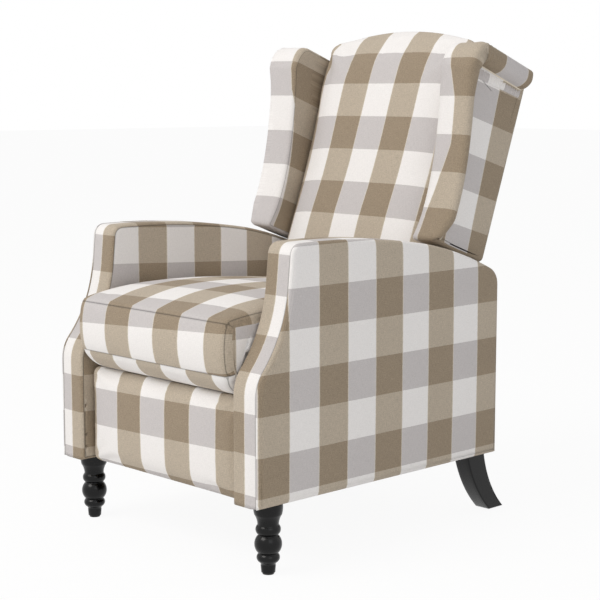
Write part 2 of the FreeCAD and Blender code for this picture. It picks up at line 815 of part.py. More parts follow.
def make_carriage():
    stand_out = size("pin_stand_out")
    plate_top = rail_high - 4.0
    slot_low = drive_pin[1] - size("drive_slot_drop")
    slot_travel = size("drive_slot_travel")
    foot = head_level - 15.6
    corners = [
        (lift_pivot[0] - 18.0, plate_top), (lift_pivot[0] - 18.0, lift_pivot[1] - 10.0),
        (guide_pivot[0] - 20.0, foot + 16.0), (guide_pivot[0] + 12.0, foot + 16.0),
        (swing_heads["front"][0] - 15.0, foot), (drive_pin[0] + 17.0, foot),
        (drive_pin[0] + 17.0, foot + 42.0), (swing_heads["rear"][0] + 15.0, foot + 42.0),
        (swing_heads["rear"][0], plate_top),
    ]
    for side_name, side in SIDES:
        name = f"carriage_plate_{side_name}"
        slots = [((drive_pin[0], slot_low), slot_travel, bore)]
        body = flat_plate(name, side, CARRIAGE_LAYER, corners, slots=slots)
        swing_reach = (CARRIAGE_LAYER[1], SWING_LAYER[1] + stand_out)
        for key, head in swing_heads.items():
            add_pin(body, f"{name}_{key}_stud", head, span(side, *swing_reach), pin)
        lift_reach = (CARRIAGE_LAYER[1], LIFT_LAYER[1] + stand_out)
        for key, hub in (("lift", lift_pivot), ("guide", guide_pivot)):
            add_pin(body, f"{name}_{key}_stud", hub, span(side, *lift_reach), pin)
        keep(name, body)


def make_footrest_linkage():
    length = size("lift_length")
    stand_out = size("pin_stand_out")
    outward = (LIFT_LAYER[1], CARRIER_LAYER[1] + stand_out)
    inward = (LIFT_LAYER[0], CARRIER_LAYER[0])
    crank_reach = (LIFT_LAYER[1], PLATE_LAYER[1] - stand_out)
    for side_name, side in SIDES:
        name = f"lift_arm_{side_name}"
        pins = [(lift_end, outward, pin), (tie_foot, outward, pin), (crank_pin, crank_reach, pin)]
        body = bar(name, side, LIFT_LAYER, lift_pivot, lift_angle, length, ((0.0, bore),))
        low, high = span(side, *LIFT_LAYER)
        sketch = new_sketch(body, name + "_crank", height=low, hub=lift_pivot, angle=crank_angle)
        draw_slot(sketch, (0.0, 0.0), size("crank_length"), size("bar_radius"))
        draw_circle(sketch, (0.0, 0.0), bore)
        pad_sketch(body, name + "_crank_pad", sketch, high - low)
        for index, (hub, reach, radius) in enumerate(pins):
            add_pin(body, f"{name}_pin_{index}", hub, span(side, *reach), radius)
        pocket = new_sketch(body, name + "_bore_circle", height=low, hub=lift_pivot)
        draw_circle(pocket, (0.0, 0.0), bore)
        drilled = body.newObject("PartDesign::Pocket", name + "_bore")
        drilled.Profile = pocket
        drilled.Type = "ThroughAll"
        drilled.Midplane = True
        keep(name, body)

        name = f"guide_arm_{side_name}"
        pins = ((guide_end, outward, pin),)
        keep(name, bar(name, side, LIFT_LAYER, guide_pivot, lift_angle, length, ((0.0, bore),), pins))

        name = f"carrier_link_{side_name}"
        reach = guide_gap + size("carrier_reach")
        angle = math.degrees(carrier_turn)
        holes = ((0.0, bore), (guide_gap, bore))
        pins = ((carrier_end, inward, pin),)
        keep(name, bar(name, side, CARRIER_LAYER, guide_end, angle, reach, holes, pins))

        name = f"tie_link_{side_name}"
        pins = ((tie_end, inward, pin),)
        keep(name, bar(name, side, CARRIER_LAYER, tie_foot, angle, size("carrier_reach"), ((0.0, bore),), pins))


def make_footrest():
    for side_name, side in SIDES:
        name = f"footrest_bracket_{side_name}"
        low, high = carrier_end[1] - 21.0, tie_end[1] + 20.0
        rear = carrier_end[0] + 15.0
        corners = [(board_rear, low), (rear, low), (rear, carrier_end[1] + 9.0),
                   (tie_end[0] + 10.0, high), (board_rear, high)]
        holes = ((carrier_end, bore), (tie_end, bore))
        body = flat_plate(name, side, LIFT_LAYER, corners, holes)
        flange_low, flange_high = span(side, LIFT_LAYER[0] - 18.0, LIFT_LAYER[0])
        sketch = new_sketch(body, name + "_flange", height=flange_low)
        draw_polygon(sketch, [(board_rear, low), (board_rear + steel, low), (board_rear + steel, high),
                              (board_rear, high)])
        pad_sketch(body, name + "_flange_pad", sketch, flange_high - flange_low)
        keep(name, body)
    inset = size("board_inset")
    half = footrest_half - inset
    board_z = (footrest_bottom + inset, footrest_top - inset)
    keep("footrest_board", box("footrest_plywood", (-half, half), (board_front, board_rear), board_z))
    keep("footrest_pad", footrest_pad(board_front))


# Soft forms: lofts through closed outlines of lines and arcs


def closed_outline(spots):
    """A wire from points; a pair of points stands for an arc through the first to the second."""
    edges = []
    ends = [spot[1] if isinstance(spot, tuple) else spot for spot in spots]
    for index, spot in enumerate(spots):
        start = ends[index - 1]
        if isinstance(spot, tuple):
            edges.append(Part.Arc(start, spot[0], spot[1]).toShape())
        else:
            edges.append(Part.LineSegment(start, spot).toShape())
    return Part.Wire(edges)


def lofted(name, sections, place=None):
    wires = [closed_outline(section) for section in sections]
    return formed(name, Part.makeLoft(wires, True, False), place)


def padded_section(half, corner, rear, edge, crown, level, upright_axis):
    """Cross-section of a crowned pad: a flat rear, round front corners and a bowed front."""

    def spot(x, depth):
        return upright_axis(x, depth, level)

    slant = corner * (1 - math.sqrt(0.5))
    return [
        spot(-half, rear),
        spot(-half, edge + corner),
        (spot(-half + slant, edge + slant), spot(-half + corner, edge)),
        (spot(0, edge - crown), spot(half - corner, edge)),
        (spot(half - slant, edge + slant), spot(half, edge + corner)),
        spot(half, rear),
    ]


def footrest_pad(rear):
    half = number(footrest_half)
    front = number(rear - size("footrest_pad_thick"))
    corner = number(size("footrest_corner"))
    crown = number(size("footrest_crown"))
    low = number(footrest_bottom)
    high = number(footrest_top)
    middle = (low + high) / 2
    # height, how far the front and the sides are drawn in, share of the crown
    rows = ((low, 10.0, 4.0, 0.2), (low + 8.0, 2.0, 1.0, 0.6), (middle, 0.0, 0.0, 1.0),
            (high - 8.0, 2.0, 1.0, 0.6), (high, 10.0, 4.0, 0.2))
    sections = [padded_section(half - side, corner, number(rear), front + back, crown * share, level,
                               lambda x, depth, up: Vec(x, depth, up))
                for level, back, side, share in rows]
    return lofted("footrest_cushion", sections)


def make_seat():
    outer = seat_rail_outer
    inner = outer - size("seat_rail_thick")
    front = size("seat_front") + size("seat_frame_setback")
    rear = size("seat_frame_rear")
    low, high = rail_low, rail_high
    thick = size("seat_rail_thick")
    for side_name, side in SIDES:
        x_range = span(side, inner, outer)
        keep(f"seat_side_rail_{side_name}", box(f"side_rail_{side_name}", x_range, (front, rear), (low, high)))
    keep("seat_front_rail", box("seat_front_timber", (-inner, inner), (front, front + thick), (low, high)))
    keep("seat_rear_rail", box("seat_rear_timber", (-inner, inner), (rear - thick, rear), (low, high)))
    make_springs(front, rear, high)
    keep("seat_cushion", seat_cushion(number(high), number(front - gap)))


SPRING_COUNT = 4


def make_springs(front, rear, rail_top):
    """Sinuous springs hooked over the seat rails, each held by a clip at both ends."""
    radius = number(size("spring_wire_radius"))
    pitch = number(size("spring_pitch"))
    half = number(size("spring_half_wide"))
    bend = pitch / 2
    level = number(rail_top) + radius
    thick = number(size("seat_rail_thick"))
    start = number(front) + thick / 2
    stop = number(rear) - thick / 2
    turns = int((stop - start) / pitch)
    lead = (stop - start - turns * pitch) / 2
    spacing = 2 * number(seat_rail_outer - size("seat_rail_thick")) / SPRING_COUNT
    springs = []
    clips = []
    for index in range(SPRING_COUNT):
        x = (index - (SPRING_COUNT - 1) / 2) * spacing
        springs.append(sinuous_wire(x, start, lead, turns, pitch, half, bend, level, radius))
        clip = number(size("clip_wide")) / 2
        top = level + radius
        for y in (start, stop):
            size_xyz = (2 * clip, thick - 4.0, number(size("clip_thick")))
            clips.append(Part.makeBox(*size_xyz, Vec(x - clip, y - size_xyz[1] / 2, top)))
    keep("seat_springs", formed("spring_wires", Part.makeCompound(springs)))
    keep("spring_clips", formed("spring_clip_plates", Part.makeCompound(clips)))


def sinuous_wire(x, start, lead, turns, pitch, half, bend, level, radius):
    spots = [Vec(x, start, level), Vec(x, start + lead, level)]
    edges = [Part.LineSegment(*spots).toShape()]
    y = start + lead
    side = 1
    here = spots[1]
    for turn in range(turns):
        # quarter bend out, straight run, half bend back, by two quarter arcs and a run each way
        out = Vec(x + side * bend / 2, y + bend / 2, level)
        middle = Vec(x + side * bend / 2 * (1 - math.sqrt(0.5)), y + bend / 2 * math.sqrt(0.5), level)
        edges.append(Part.Arc(here, middle, out).toShape())
        far = Vec(x + side * (half - bend / 2), y + bend / 2, level)
        edges.append(Part.LineSegment(out, far).toShape())
        back = Vec(far.x, y + pitch - bend / 2, level)
        edges.append(Part.Arc(far, Vec(far.x + side * bend / 2, y + pitch / 2, level), back).toShape())
        near = Vec(x + side * bend / 2, back.y, level)
        edges.append(Part.LineSegment(back, near).toShape())
        after = Vec(x, y + pitch, level)
        swing = Vec(x + side * bend / 2 * (1 - math.sqrt(0.5)), y + pitch - bend / 2 * math.sqrt(0.5), level)
        edges.append(Part.Arc(near, swing, after).toShape())
        here = after
        y += pitch
        side = -side
    edges.append(Part.LineSegment(here, Vec(x, y + lead, level)).toShape())
    path = Part.Wire(edges)
    ring = Part.Wire(Part.Circle(Vec(x, start, level), Y_AXIS, radius).toShape())
    return path.makePipeShell([ring], True, False)


def seat_cushion(rail_top, frame_front):
    front = number(size("seat_front"))
    bulge = number(size("seat_front_bulge"))
    seam = number(seat_seam)
    lower = number(seat_lower_seam)
    lip_y = front + number(size("seat_lip_setback"))
    lip_z = number(seat_lip)
    crown = number(size("seat_crown"))
    crest_y = front + number(size("seat_crown_setback"))
    rear = number(size("seat_rear_y"))
    slope = number(size("seat_rear_slope"))
    half = number(seat_half)
    corner = number(size("seat_corner"))
    bottom = rail_top + 2 * number(size("spring_wire_radius")) + number(size("clip_thick")) + number(gap)
    # share of the half width, how far the front is drawn in, share of the crown
    rows = ((1.0, 1.0, 0.15), (0.985, 0.45, 0.45), (0.95, 0.12, 0.68), (0.88, 0.0, 0.8),
            (0.5, 0.0, 0.95), (0.0, 0.0, 1.0))
    columns = [(-share, drawn, top) for share, drawn, top in rows]
    columns += [(share, drawn, top) for share, drawn, top in reversed(rows[:-1])]
    sections = []
    for share, drawn, top in columns:
        x = share * half
        edge = front + drawn * corner
        crest = seam + crown * top
        rear_top = seam + 2.0
        quarter = (crest_y - edge) * 0.45
        sections.append([
            Vec(x, frame_front, bottom),
            Vec(x, frame_front, lip_z),
            Vec(x, lip_y + drawn * corner * 0.3, lip_z),
            Vec(x, edge, lower),
            (Vec(x, edge - bulge * (1 - drawn * 0.5), (seam + lower) / 2), Vec(x, edge, seam)),
            (Vec(x, edge + quarter, seam + (crest - seam) * 0.74), Vec(x, crest_y, crest)),
            (Vec(x, (crest_y + rear) / 2, crest - (crest - rear_top) * 0.3), Vec(x, rear + slope, rear_top)),
            Vec(x, rear, bottom),
        ])
    return lofted("seat_padding", sections)


# Back: timber frame, webbing, crowned pad, outer cover, wings and steel brackets


def back_box(name, x_range, depth_range, height_range):
    item = doc.addObject("Part::Box", name)
    for side_name, (low, high) in zip(("Length", "Width", "Height"), (x_range, depth_range, height_range)):
        bind(item, side_name, high - low)
    corner = Vec(number(x_range[0]), number(depth_range[0]), number(height_range[0]))
    item.Placement = back_place.multiply(Place(corner, Turn()))
    return item


def arched_blank(name, half, low, edge_top, middle_top, depth_range):
    """A block with an arched top, in the back's leaning frame."""
    low_depth, high_depth = number(depth_range[0]), number(depth_range[1])

    def spot(x, height):
        return Vec(x, low_depth, height)

    outline = closed_outline([spot(-half, low), spot(half, low), spot(half, edge_top),
                              (spot(0, middle_top), spot(-half, edge_top))])
    return formed(name, Part.Face(outline).extrude(Vec(0, high_depth - low_depth, 0)), back_place)


def back_pad(rear):
    half = number(pad_half)
    corner = number(size("pad_corner"))
    crown = number(size("pad_crown"))
    low = number(size("pad_bottom"))
    edge_top = number(size("pad_top_edge"))
    high = number(pad_top_middle)
    lumbar_foot = low + number(size("pad_lumbar_foot"))
    lumbar_top = low + number(size("pad_lumbar_top"))
    shoulder = edge_top - number(size("pad_shoulder_drop"))
    head = edge_top - number(size("pad_head_drop"))
    # height, front edge's depth, share of the crown
    rows = ((low, 4.0, 0.06), (lumbar_foot, 6.0, 0.25), (lumbar_top, 6.0, 0.85), (shoulder, 4.0, 1.0),
            (head, 6.0, 0.8), (edge_top, 14.0, 0.65), (high, 24.0, 0.3))
    sections = [padded_section(half, corner, number(rear), edge, crown * share, level,
                               lambda x, depth, up: Vec(x, depth, up))
                for level, edge, share in rows]
    blank = lofted("back_pad_loft", sections, back_place)
    arch = arched_blank("back_pad_arch", half + 1, low - 1, edge_top, high, (-100.0, 100.0))
    return shared("back_padding", blank, arch)


def make_back():
    stile_front = size("stile_front")
    stile_rear = stile_front + size("stile_deep")
    outer = stile_outer
    inner = outer - size("stile_thick")
    low = size("pad_bottom")
    top = stile_top
    tall = size("back_rail_tall")
    depth = (stile_front, stile_rear)
    for side_name, side in SIDES:
        x_range = span(side, inner, outer)
        keep(f"back_stile_{side_name}", back_box(f"stile_{side_name}", x_range, depth, (low, top)))
    keep("back_top_rail", back_box("top_rail_timber", (-inner, inner), depth, (top - tall, top)))
    keep("back_bottom_rail", back_box("bottom_rail_timber", (-inner, inner), depth, (low, low + tall)))
    make_webbing(stile_front, outer, low + tall, top - tall)
    keep("back_cushion", back_pad(stile_front - size("webbing_thick") - gap))
    keep("back_cover", back_cover(stile_front, stile_rear, outer, top))


WEBBING_COUNT = 5


def make_webbing(front, half, low, high):
    strips = []
    wide = size("webbing_wide")
    depth = (front - size("webbing_thick"), front)
    step = (high - low - wide) / (WEBBING_COUNT - 1)
    for index in range(WEBBING_COUNT):
        start = low + step * index
        strips.append(back_box(f"webbing_strip_{index}", (-half, half), depth, (start, start + wide)))
    keep("back_webbing", grouped("webbing_group", strips))


def back_cover(frame_front, frame_rear, frame_outer, frame_top):
    half = number(frame_outer - gap)
    rear = number(cover_rear)
    low = number(size("cover_bottom"))
    cover_wall = number(size("cover_wall"))
    front = number(frame_front - size("webbing_thick") + gap)
    edge_top = number(size("pad_top_edge") - size("cover_edge_drop"))
    middle_top = number(pad_top_middle - size("cover_middle_drop"))
    shell = arched_blank("cover_blank", half, low, edge_top, middle_top, (front, rear))
    wide = half + 5.0
    frame_space = back_box("cover_frame_space", (-wide, wide), (front - 5.0, frame_rear + gap),
                           (low - 20.0, frame_top + gap))
    pocket_half = half - cover_wall
    hollow = back_box("cover_hollow", (-pocket_half, pocket_half),
                      (frame_rear - 5.0, rear - cover_wall), (low + cover_wall, frame_top - 20.0))
    return cut("cover_shell", shell, joined("cover_spaces", [frame_space, hollow]))


def wing_section(x, forward, inset, low, high, front, rear):
    """Side outline of a wing, hollowed lower down and flaring forward to its top corner."""

    def spot(depth, height):
        return Vec(x, depth, height)

    lower_front = front + 41.0 + forward
    waist = front + 48.0 + forward
    ear = front + forward
    low += inset
    high -= inset
    rear -= inset * 0.5
    return [
        spot(lower_front + 8.0, low),
        (spot(lower_front + 2.0, low + 3.0), spot(lower_front, low + 10.0)),
        (spot(waist, low + number(size("wing_waist_rise"))), spot(ear, high - number(size("wing_ear_drop")))),
        (spot(ear + 8.0, high - 22.0), spot(ear + 34.0, high)),
        spot(rear - 18.0, high),
        (spot(rear - 5.0, high - 5.0), spot(rear, high - 18.0)),
        spot(rear, low + 14.0),
        (spot(rear - 4.0, low + 4.0), spot(rear - 14.0, low)),
    ]


def make_wings():
    inner = number(wing_inner)
    outer = number(arm_outer)
    low = wing_bottom
    high = number(wing_top)
    front = number(size("wing_front"))
    rear = number(size("back_rear"))
    board_inner = stile_outer
    board_outer = board_inner + size("wing_board_thick")
    for side_name, side in SIDES:
        # distance from the chair's middle, how far the front is drawn back, how far the ends are drawn in
        rows = ((inner, 24.0, 9.0), (inner + 12.0, 9.0, 2.5), (inner + 34.0, 1.0, 0.0),
                (outer - 16.0, 0.0, 0.0), (outer - 4.0, 4.0, 1.5), (outer, 11.0, 5.0))
        sections = [wing_section(x * side, forward, inset, low, high, front, rear) for x, forward, inset in rows]
        blank = lofted(f"wing_blank_{side_name}", sections, back_place)
        board = wing_board(side_name, side, board_inner, board_outer, low, high, front, rear)
        keep(f"wing_board_{side_name}", board)
        space = back_box(f"wing_stile_space_{side_name}", span(side, wing_inner - 5.0, board_inner),
                         (size("stile_front") - size("webbing_thick") - gap, size("back_rear") + 5.0),
                         (wing_bottom - 10.0, wing_top + 10.0))
        tools = joined(f"wing_spaces_{side_name}", [space, board])
        keep(f"wing_pad_{side_name}", cut(f"wing_padding_{side_name}", blank, tools))


def wing_board(side_name, side, inner, outer, low, high, front, rear):
    start, stop = (number(end) for end in span(side, inner, outer))
    margin = number(size("wing_board_margin"))
    waist = low + number(size("wing_waist_rise")) + 10.0
    ear = high - number(size("wing_ear_drop")) - 3.0

    def spot(depth, height):
        return Vec(start, depth, height)

    outline = Part.makePolygon([
        spot(rear - margin, low + margin), spot(rear - margin, high - margin),
        spot(front + margin + 22.0, high - margin), spot(front + margin + 8.0, ear),
        spot(front + margin + 52.0, waist), spot(front + margin + 46.0, low + margin),
        spot(rear - margin, low + margin)])
    return formed(f"wing_plywood_{side_name}", Part.Face(outline).extrude(Vec(stop - start, 0, 0)), back_place)


def back_spot(depth, height):
    """A point of the leaning back as a pair of Y and Z."""
    point = back_place.multVec(Vec(0, number(depth), number(height)))
    return point.y, point.z


def make_back_brackets():
    front = size("stile_front") + 2.0
    rear = size("stile_front") + size("stile_deep")
    clear_arm = (LIFT_LAYER[0] - size("layer_gap") - steel - size("pin_stand_out"), BACK_LAYER[0])
    top = wing_bottom - number(size("bracket_wing_gap"))
    corners = [
        back_spot(front, top), back_spot(front, 0.0), (back_pivot[0] - 17.0, back_pivot[1] - 10.0),
        (drive_pin[0] - 13.0, drive_pin[1] - 8.0), (drive_pin[0] - 6.0, drive_pin[1] - 13.0),
        (drive_pin[0] + 7.0, drive_pin[1] - 12.0), (drive_pin[0] + 13.0, drive_pin[1]),
        (back_pivot[0] + 19.0, back_pivot[1] + 2.0), back_spot(rear, 20.0), back_spot(rear, top),
    ]
    for side_name, side in SIDES:
        name = f"back_bracket_{side_name}"
        holes = ((back_pivot, size("pivot_radius") + running),)
        body = flat_plate(name, side, BACK_LAYER, corners, holes)
        add_pin(body, name + "_drive_pin", drive_pin, span(side, *clear_arm), pin)
        keep(name, body)


make_arms()
make_base()
make_legs()
make_base_plates()
make_swing_links()
make_carriage()
make_footrest_linkage()
make_footrest()
make_seat()
make_back()
make_wings()
make_back_brackets()
doc.recompute()

# Checks, then one file for each piece

faults = [item.Name for item in doc.Objects if "Invalid" in item.State or "Error" in item.State]
for label, item in nodes.items():
    if item.Shape.isNull() or not item.Shape.isValid() or not item.Shape.Solids:
        faults.append(label)
if faults:
    raise ValueError(f"pieces that did not build: {faults}")

os.makedirs("parts", exist_ok=True)
for label, item in nodes.items():
    item.Shape.exportStep(f"parts/{label}.step")

for title, hub in (("back pivot", back_pivot), ("drive pin", drive_pin), ("lift pivot", lift_pivot),
                   ("guide pivot", guide_pivot), ("lift end", lift_end), ("guide end", guide_end),
                   ("carrier end", carrier_end), ("tie foot", tie_foot), ("tie end", tie_end),
                   ("crank pin", crank_pin), ("front swing head", swing_heads["front"]),
                   ("rear swing head", swing_heads["rear"])):
    print(f"{title}: Y {number(hub[0]):.3f}, Z {number(hub[1]):.3f}")
whole = Part.makeCompound([item.Shape for item in nodes.values()]).BoundBox
print(f"{len(nodes)} pieces, {whole.XLength:.1f} x {whole.YLength:.1f} x {whole.ZLength:.1f}, Y {whole.YMin:.1f}")
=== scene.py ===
"""A wingback recliner in woven check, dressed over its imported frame.

Lengths are in millimetres until a mesh is made. X runs to the sitter's left arm, Y to the rear and Z up.
"""

import logging
import math
from dataclasses import dataclass, field
from enum import Enum
from typing import Callable

import bmesh
import bpy
import numpy as np
from mathutils import Matrix, Vector


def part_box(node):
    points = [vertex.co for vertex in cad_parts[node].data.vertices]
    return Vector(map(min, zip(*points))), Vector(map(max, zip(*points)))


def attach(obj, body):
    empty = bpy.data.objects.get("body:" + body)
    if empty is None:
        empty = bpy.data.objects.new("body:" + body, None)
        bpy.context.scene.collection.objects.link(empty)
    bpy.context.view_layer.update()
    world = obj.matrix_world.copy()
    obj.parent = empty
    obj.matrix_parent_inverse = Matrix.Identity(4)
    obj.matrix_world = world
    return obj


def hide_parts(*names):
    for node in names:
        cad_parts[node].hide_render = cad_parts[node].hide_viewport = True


LOG = logging.getLogger("recliner")
METRE = 0.001
CHECK = 77.0
CELLS = "cells"
SEAM = "seam"
FAR = 60.0
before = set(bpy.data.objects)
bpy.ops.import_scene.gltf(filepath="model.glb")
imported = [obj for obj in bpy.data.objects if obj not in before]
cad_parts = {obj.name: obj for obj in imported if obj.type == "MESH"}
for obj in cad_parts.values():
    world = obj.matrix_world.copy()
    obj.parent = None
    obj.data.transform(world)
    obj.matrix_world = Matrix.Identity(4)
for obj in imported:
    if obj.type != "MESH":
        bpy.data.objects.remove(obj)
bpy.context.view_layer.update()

Array = np.ndarray
Pair = tuple[float, float]
Colour = tuple[float, float, float, float]


class Side(Enum):
    """The two sides of the chair, by the sign of X."""

    LEFT = -1
    RIGHT = 1

    @property
    def label(self) -> str:
        """The side's name in the frame's nodes."""
        return self.name.lower()


class Turn(Enum):
    """The way an arc bends as it goes along."""

    ANTICLOCKWISE = 1
    CLOCKWISE = -1


def node_range(node: str) -> tuple[Array, Array]:
    """The lowest and highest corner of a node of the frame, in millimetres.

    Args:
        node: Name of the node.

    Returns:
        The two corners.
    """
    low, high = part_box(node)
    return np.array(low) / METRE, np.array(high) / METRE


# Outlines and grids


class Outline:
    """A line in a plane, grown from a start point by straight runs and arcs."""

    def __init__(self, start: Pair) -> None:
        """Starts the line at a point."""
        self.points: Array = np.array([start], float)

    def run(self, end: Pair) -> "Outline":
        """Adds a straight run to a point."""
        self.points = np.vstack([self.points, end])
        return self

    def bend(self, end: Pair, radius: float, turn: Turn, count: int = 24) -> "Outline":
        """Adds an arc of a given radius.

        The centre lies on the chord's perpendicular bisector, at the root of the radius squared less half the
        chord squared, and the points are spread evenly over the angle between the ends.

        Args:
            end: Last point of the arc.
            radius: Its radius.
            turn: The way it bends.
            count: Points along it.

        Returns:
            The outline itself.
        """
        start, stop = self.points[-1], np.array(end, float)
        half = np.linalg.norm(stop - start) / 2
        across = np.array([start[1] - stop[1], stop[0] - start[0]]) / (2 * half)
        centre = (start + stop) / 2 + across * math.sqrt(max(radius**2 - half**2, 0.0)) * turn.value
        first = math.atan2(*(start - centre)[::-1])
        last = math.atan2(*(stop - centre)[::-1])
        last += 2 * math.pi * turn.value if (last - first) * turn.value < 0 else 0.0
        angles = np.linspace(first, last, count + 1)[1:]
        spots = centre + radius * np.stack([np.cos(angles), np.sin(angles)], 1)
        self.points = np.vstack([self.points, spots])
        return self

    def sweep(self, middle: Pair, end: Pair, count: int = 24) -> "Outline":
        """Adds a quadratic curve that passes through a middle point half way along its parameter.

        Args:
            middle: Point that the curve passes through.
            end: Where it ends.
            count: Points that are added.

        Returns:
            This outline.
        """
        start, stop = self.points[-1], np.array(end, float)
        pull = 2 * np.array(middle, float) - (start + stop) / 2
        t = np.linspace(0, 1, count + 1)[1:, None]
        spots = (1 - t) ** 2 * start + 2 * t * (1 - t) * pull + t**2 * stop
        self.points = np.vstack([self.points, spots])
        return self

    def spread(self, count: int) -> Array:
        """The line as evenly spaced points.

        Args:
            count: How many steps the line is cut into.

        Returns:
            Points as an array of count + 1 rows.
        """
        steps = np.linalg.norm(np.diff(self.points, axis=0), axis=1)
        along = np.concatenate([[0.0], np.cumsum(steps)])
        spots = np.linspace(0, along[-1], count + 1)
        return np.stack([np.interp(spots, along, self.points[:, i]) for i in (0, 1)], 1)


def ring_of(edges: list[Outline], low_count: int, side_count: int) -> Array:
    """A closed ring from four edges: bottom, right, top and left, anticlockwise.

    Args:
        edges: The four outlines, each ending where the next starts.
        low_count: Steps along the bottom and the top.
        side_count: Steps along each side.

    Returns:
        The ring's points, the first not repeated.
    """
    counts = (low_count, side_count, low_count, side_count)
    return np.vstack([edge.spread(count)[:-1] for edge, count in zip(edges, counts)])


def inward(ring: Array) -> Array:
    """Inward normals of an anticlockwise ring, lengthened at corners so that an offset keeps its distance.

    The normal at a point is the sum of its two edges' unit normals, divided by one plus their dot product.

    Args:
        ring: Points of the ring.

    Returns:
        One normal for each point.
    """
    forward = np.roll(ring, -1, axis=0) - ring
    forward /= np.linalg.norm(forward, axis=1, keepdims=True)
    after = np.stack([-forward[:, 1], forward[:, 0]], 1)
    before = np.roll(after, 1, axis=0)
    return (after + before) / (1 + np.sum(after * before, axis=1, keepdims=True))


def filled(ring: Array, low_count: int, side_count: int) -> Array:
    """The grid inside a closed ring, each point the sum of the two ruled surfaces less the bilinear one.

    Args:
        ring: Closed ring of points with any number of values each.
        low_count: Steps along the bottom and the top.
        side_count: Steps along each side.

    Returns:
        A grid of side_count + 1 rows and low_count + 1 columns.
    """
    closed = np.vstack([ring, ring[:1]])
    bottom = closed[: low_count + 1]
    right = closed[low_count : low_count + side_count + 1]
    top = closed[low_count + side_count : 2 * low_count + side_count + 1][::-1]
    left = closed[2 * low_count + side_count :][::-1]
    s = np.linspace(0, 1, low_count + 1)[None, :, None]
    t = np.linspace(0, 1, side_count + 1)[:, None, None]
    ruled = (1 - t) * bottom[None] + t * top[None] + (1 - s) * left[:, None] + s * right[:, None]
    corners = (1 - s) * (1 - t) * bottom[0] + s * (1 - t) * bottom[-1] + (1 - s) * t * top[0] + s * t * top[-1]
    return ruled - corners


def ramp(places: Array, ends: Pair) -> Array:
    """A share that runs from 0 at the first end to 1 at the second."""
    return np.clip((places - ends[0]) / (ends[1] - ends[0]), 0, 1)


def swell(low_count: int, side_count: int, power: float) -> Array:
    """How far each point of a filled grid stands out, from 0 at its border to 1 in the middle.

    It is the product of two half waves, one each way, raised to a power.

    Args:
        low_count: Steps along.
        side_count: Steps up.
        power: The power; a small one fills the corners out.

    Returns:
        A share for each point, rows first.
    """
    s = np.sin(np.pi * np.linspace(0, 1, low_count + 1))[None, :]
    t = np.sin(np.pi * np.linspace(0, 1, side_count + 1))[:, None]
    return np.clip(s * t, 0, 1) ** power


@dataclass(frozen=True)
class Plane:
    """Where an outline's plane lies: its origin, and its directions along, up and across."""

    along: tuple[float, float, float]
    up: tuple[float, float, float]
    across: tuple[float, float, float]
    origin: tuple[float, float, float] = (0.0, 0.0, 0.0)

    def place(self, flat: Array) -> Array:
        """Turns points given along, up and across into points of the chair."""
        basis = np.array([self.along, self.up, self.across])
        return flat @ basis + np.array(self.origin)


LEAN = math.radians(20.0)
BACK_FOOT = (0.0, 95.0, 460.0)
BACK_UP = (0.0, math.sin(LEAN), math.cos(LEAN))
BACK_DEPTH = (0.0, math.cos(LEAN), -math.sin(LEAN))
SIDE_PLANE = Plane((0, 1, 0), (0, 0, 1), (1, 0, 0))
FRONT_PLANE = Plane((1, 0, 0), (0, 0, 1), (0, 1, 0))
BACK_FACE_PLANE = Plane((1, 0, 0), BACK_UP, BACK_DEPTH, BACK_FOOT)
BACK_SIDE_PLANE = Plane(BACK_DEPTH, BACK_UP, (1, 0, 0), BACK_FOOT)


def smoothed(points: tuple[Pair, ...], count: int) -> Array:
    """A smooth line through points, evenly spread.

    Each stretch is the cubic that meets its two ends with slopes of half the step between their neighbours.

    Args:
        points: The points that it passes through.
        count: How many steps it is cut into.

    Returns:
        Points as an array of count + 1 rows.
    """
    spots = np.array(points, float)
    before = np.vstack([2 * spots[0] - spots[1], spots[:-1]])
    after = np.vstack([spots[1:], 2 * spots[-1] - spots[-2]])
    slope = (after - before) / 2
    t = np.linspace(0, 1, 13)[:-1, None]
    start, stop = spots[:-1, None], spots[1:, None]
    leave, reach = slope[:-1, None], slope[1:, None]
    curve = ((1 + 2 * t) * (1 - t) ** 2 * start + t * (1 - t) ** 2 * leave + t**2 * (3 - 2 * t) * stop
             + t**2 * (t - 1) * reach)
    line = Outline((0.0, 0.0))
    line.points = np.vstack([curve.reshape(-1, 2), spots[-1:]])
    return line.spread(count)


# Meshes


@dataclass
class Patch:
    """A grid of points with the cloth's check cell at each, how firmly each is held in a simulation, and how
    far each lies from a seam."""

    points: Array
    cells: Array
    held: Array
    seam: Array | None = None


def quads_of(rows: int, columns: int) -> Array:
    """Corner numbers of every face of a grid with the given points each way."""
    index = np.arange(rows * columns).reshape(rows, columns)
    corners = [index[:-1, :-1], index[:-1, 1:], index[1:, 1:], index[1:, :-1]]
    return np.stack([c.ravel() for c in corners], 1)


def mesh_object(name: str, points: Array, faces: list, cells: Array | None = None) -> bpy.types.Object:
    """Makes an object from points in millimetres and faces.

    Args:
        name: Name of the piece.
        points: Its points.
        faces: Corner numbers of each face.
        cells: Check cell at each face corner, in the order of the faces.

    Returns:
        The new object, at the origin, with its faces turned outwards.
    """
    mesh = bpy.data.meshes.new(name)
    mesh.from_pydata(points * METRE, [], faces)
    if cells is not None:
        layer = mesh.uv_layers.new(name=CELLS)
        layer.uv.foreach_set("vector", np.asarray(cells, np.float32).ravel())
    mesh.shade_smooth()
    mesh.validate()
    shell = bmesh.new()
    shell.from_mesh(mesh)
    bmesh.ops.recalc_face_normals(shell, faces=shell.faces)
    shell.to_mesh(mesh)
    shell.free()
    item = bpy.data.objects.new(name, mesh)
    bpy.context.scene.collection.objects.link(item)
    return item


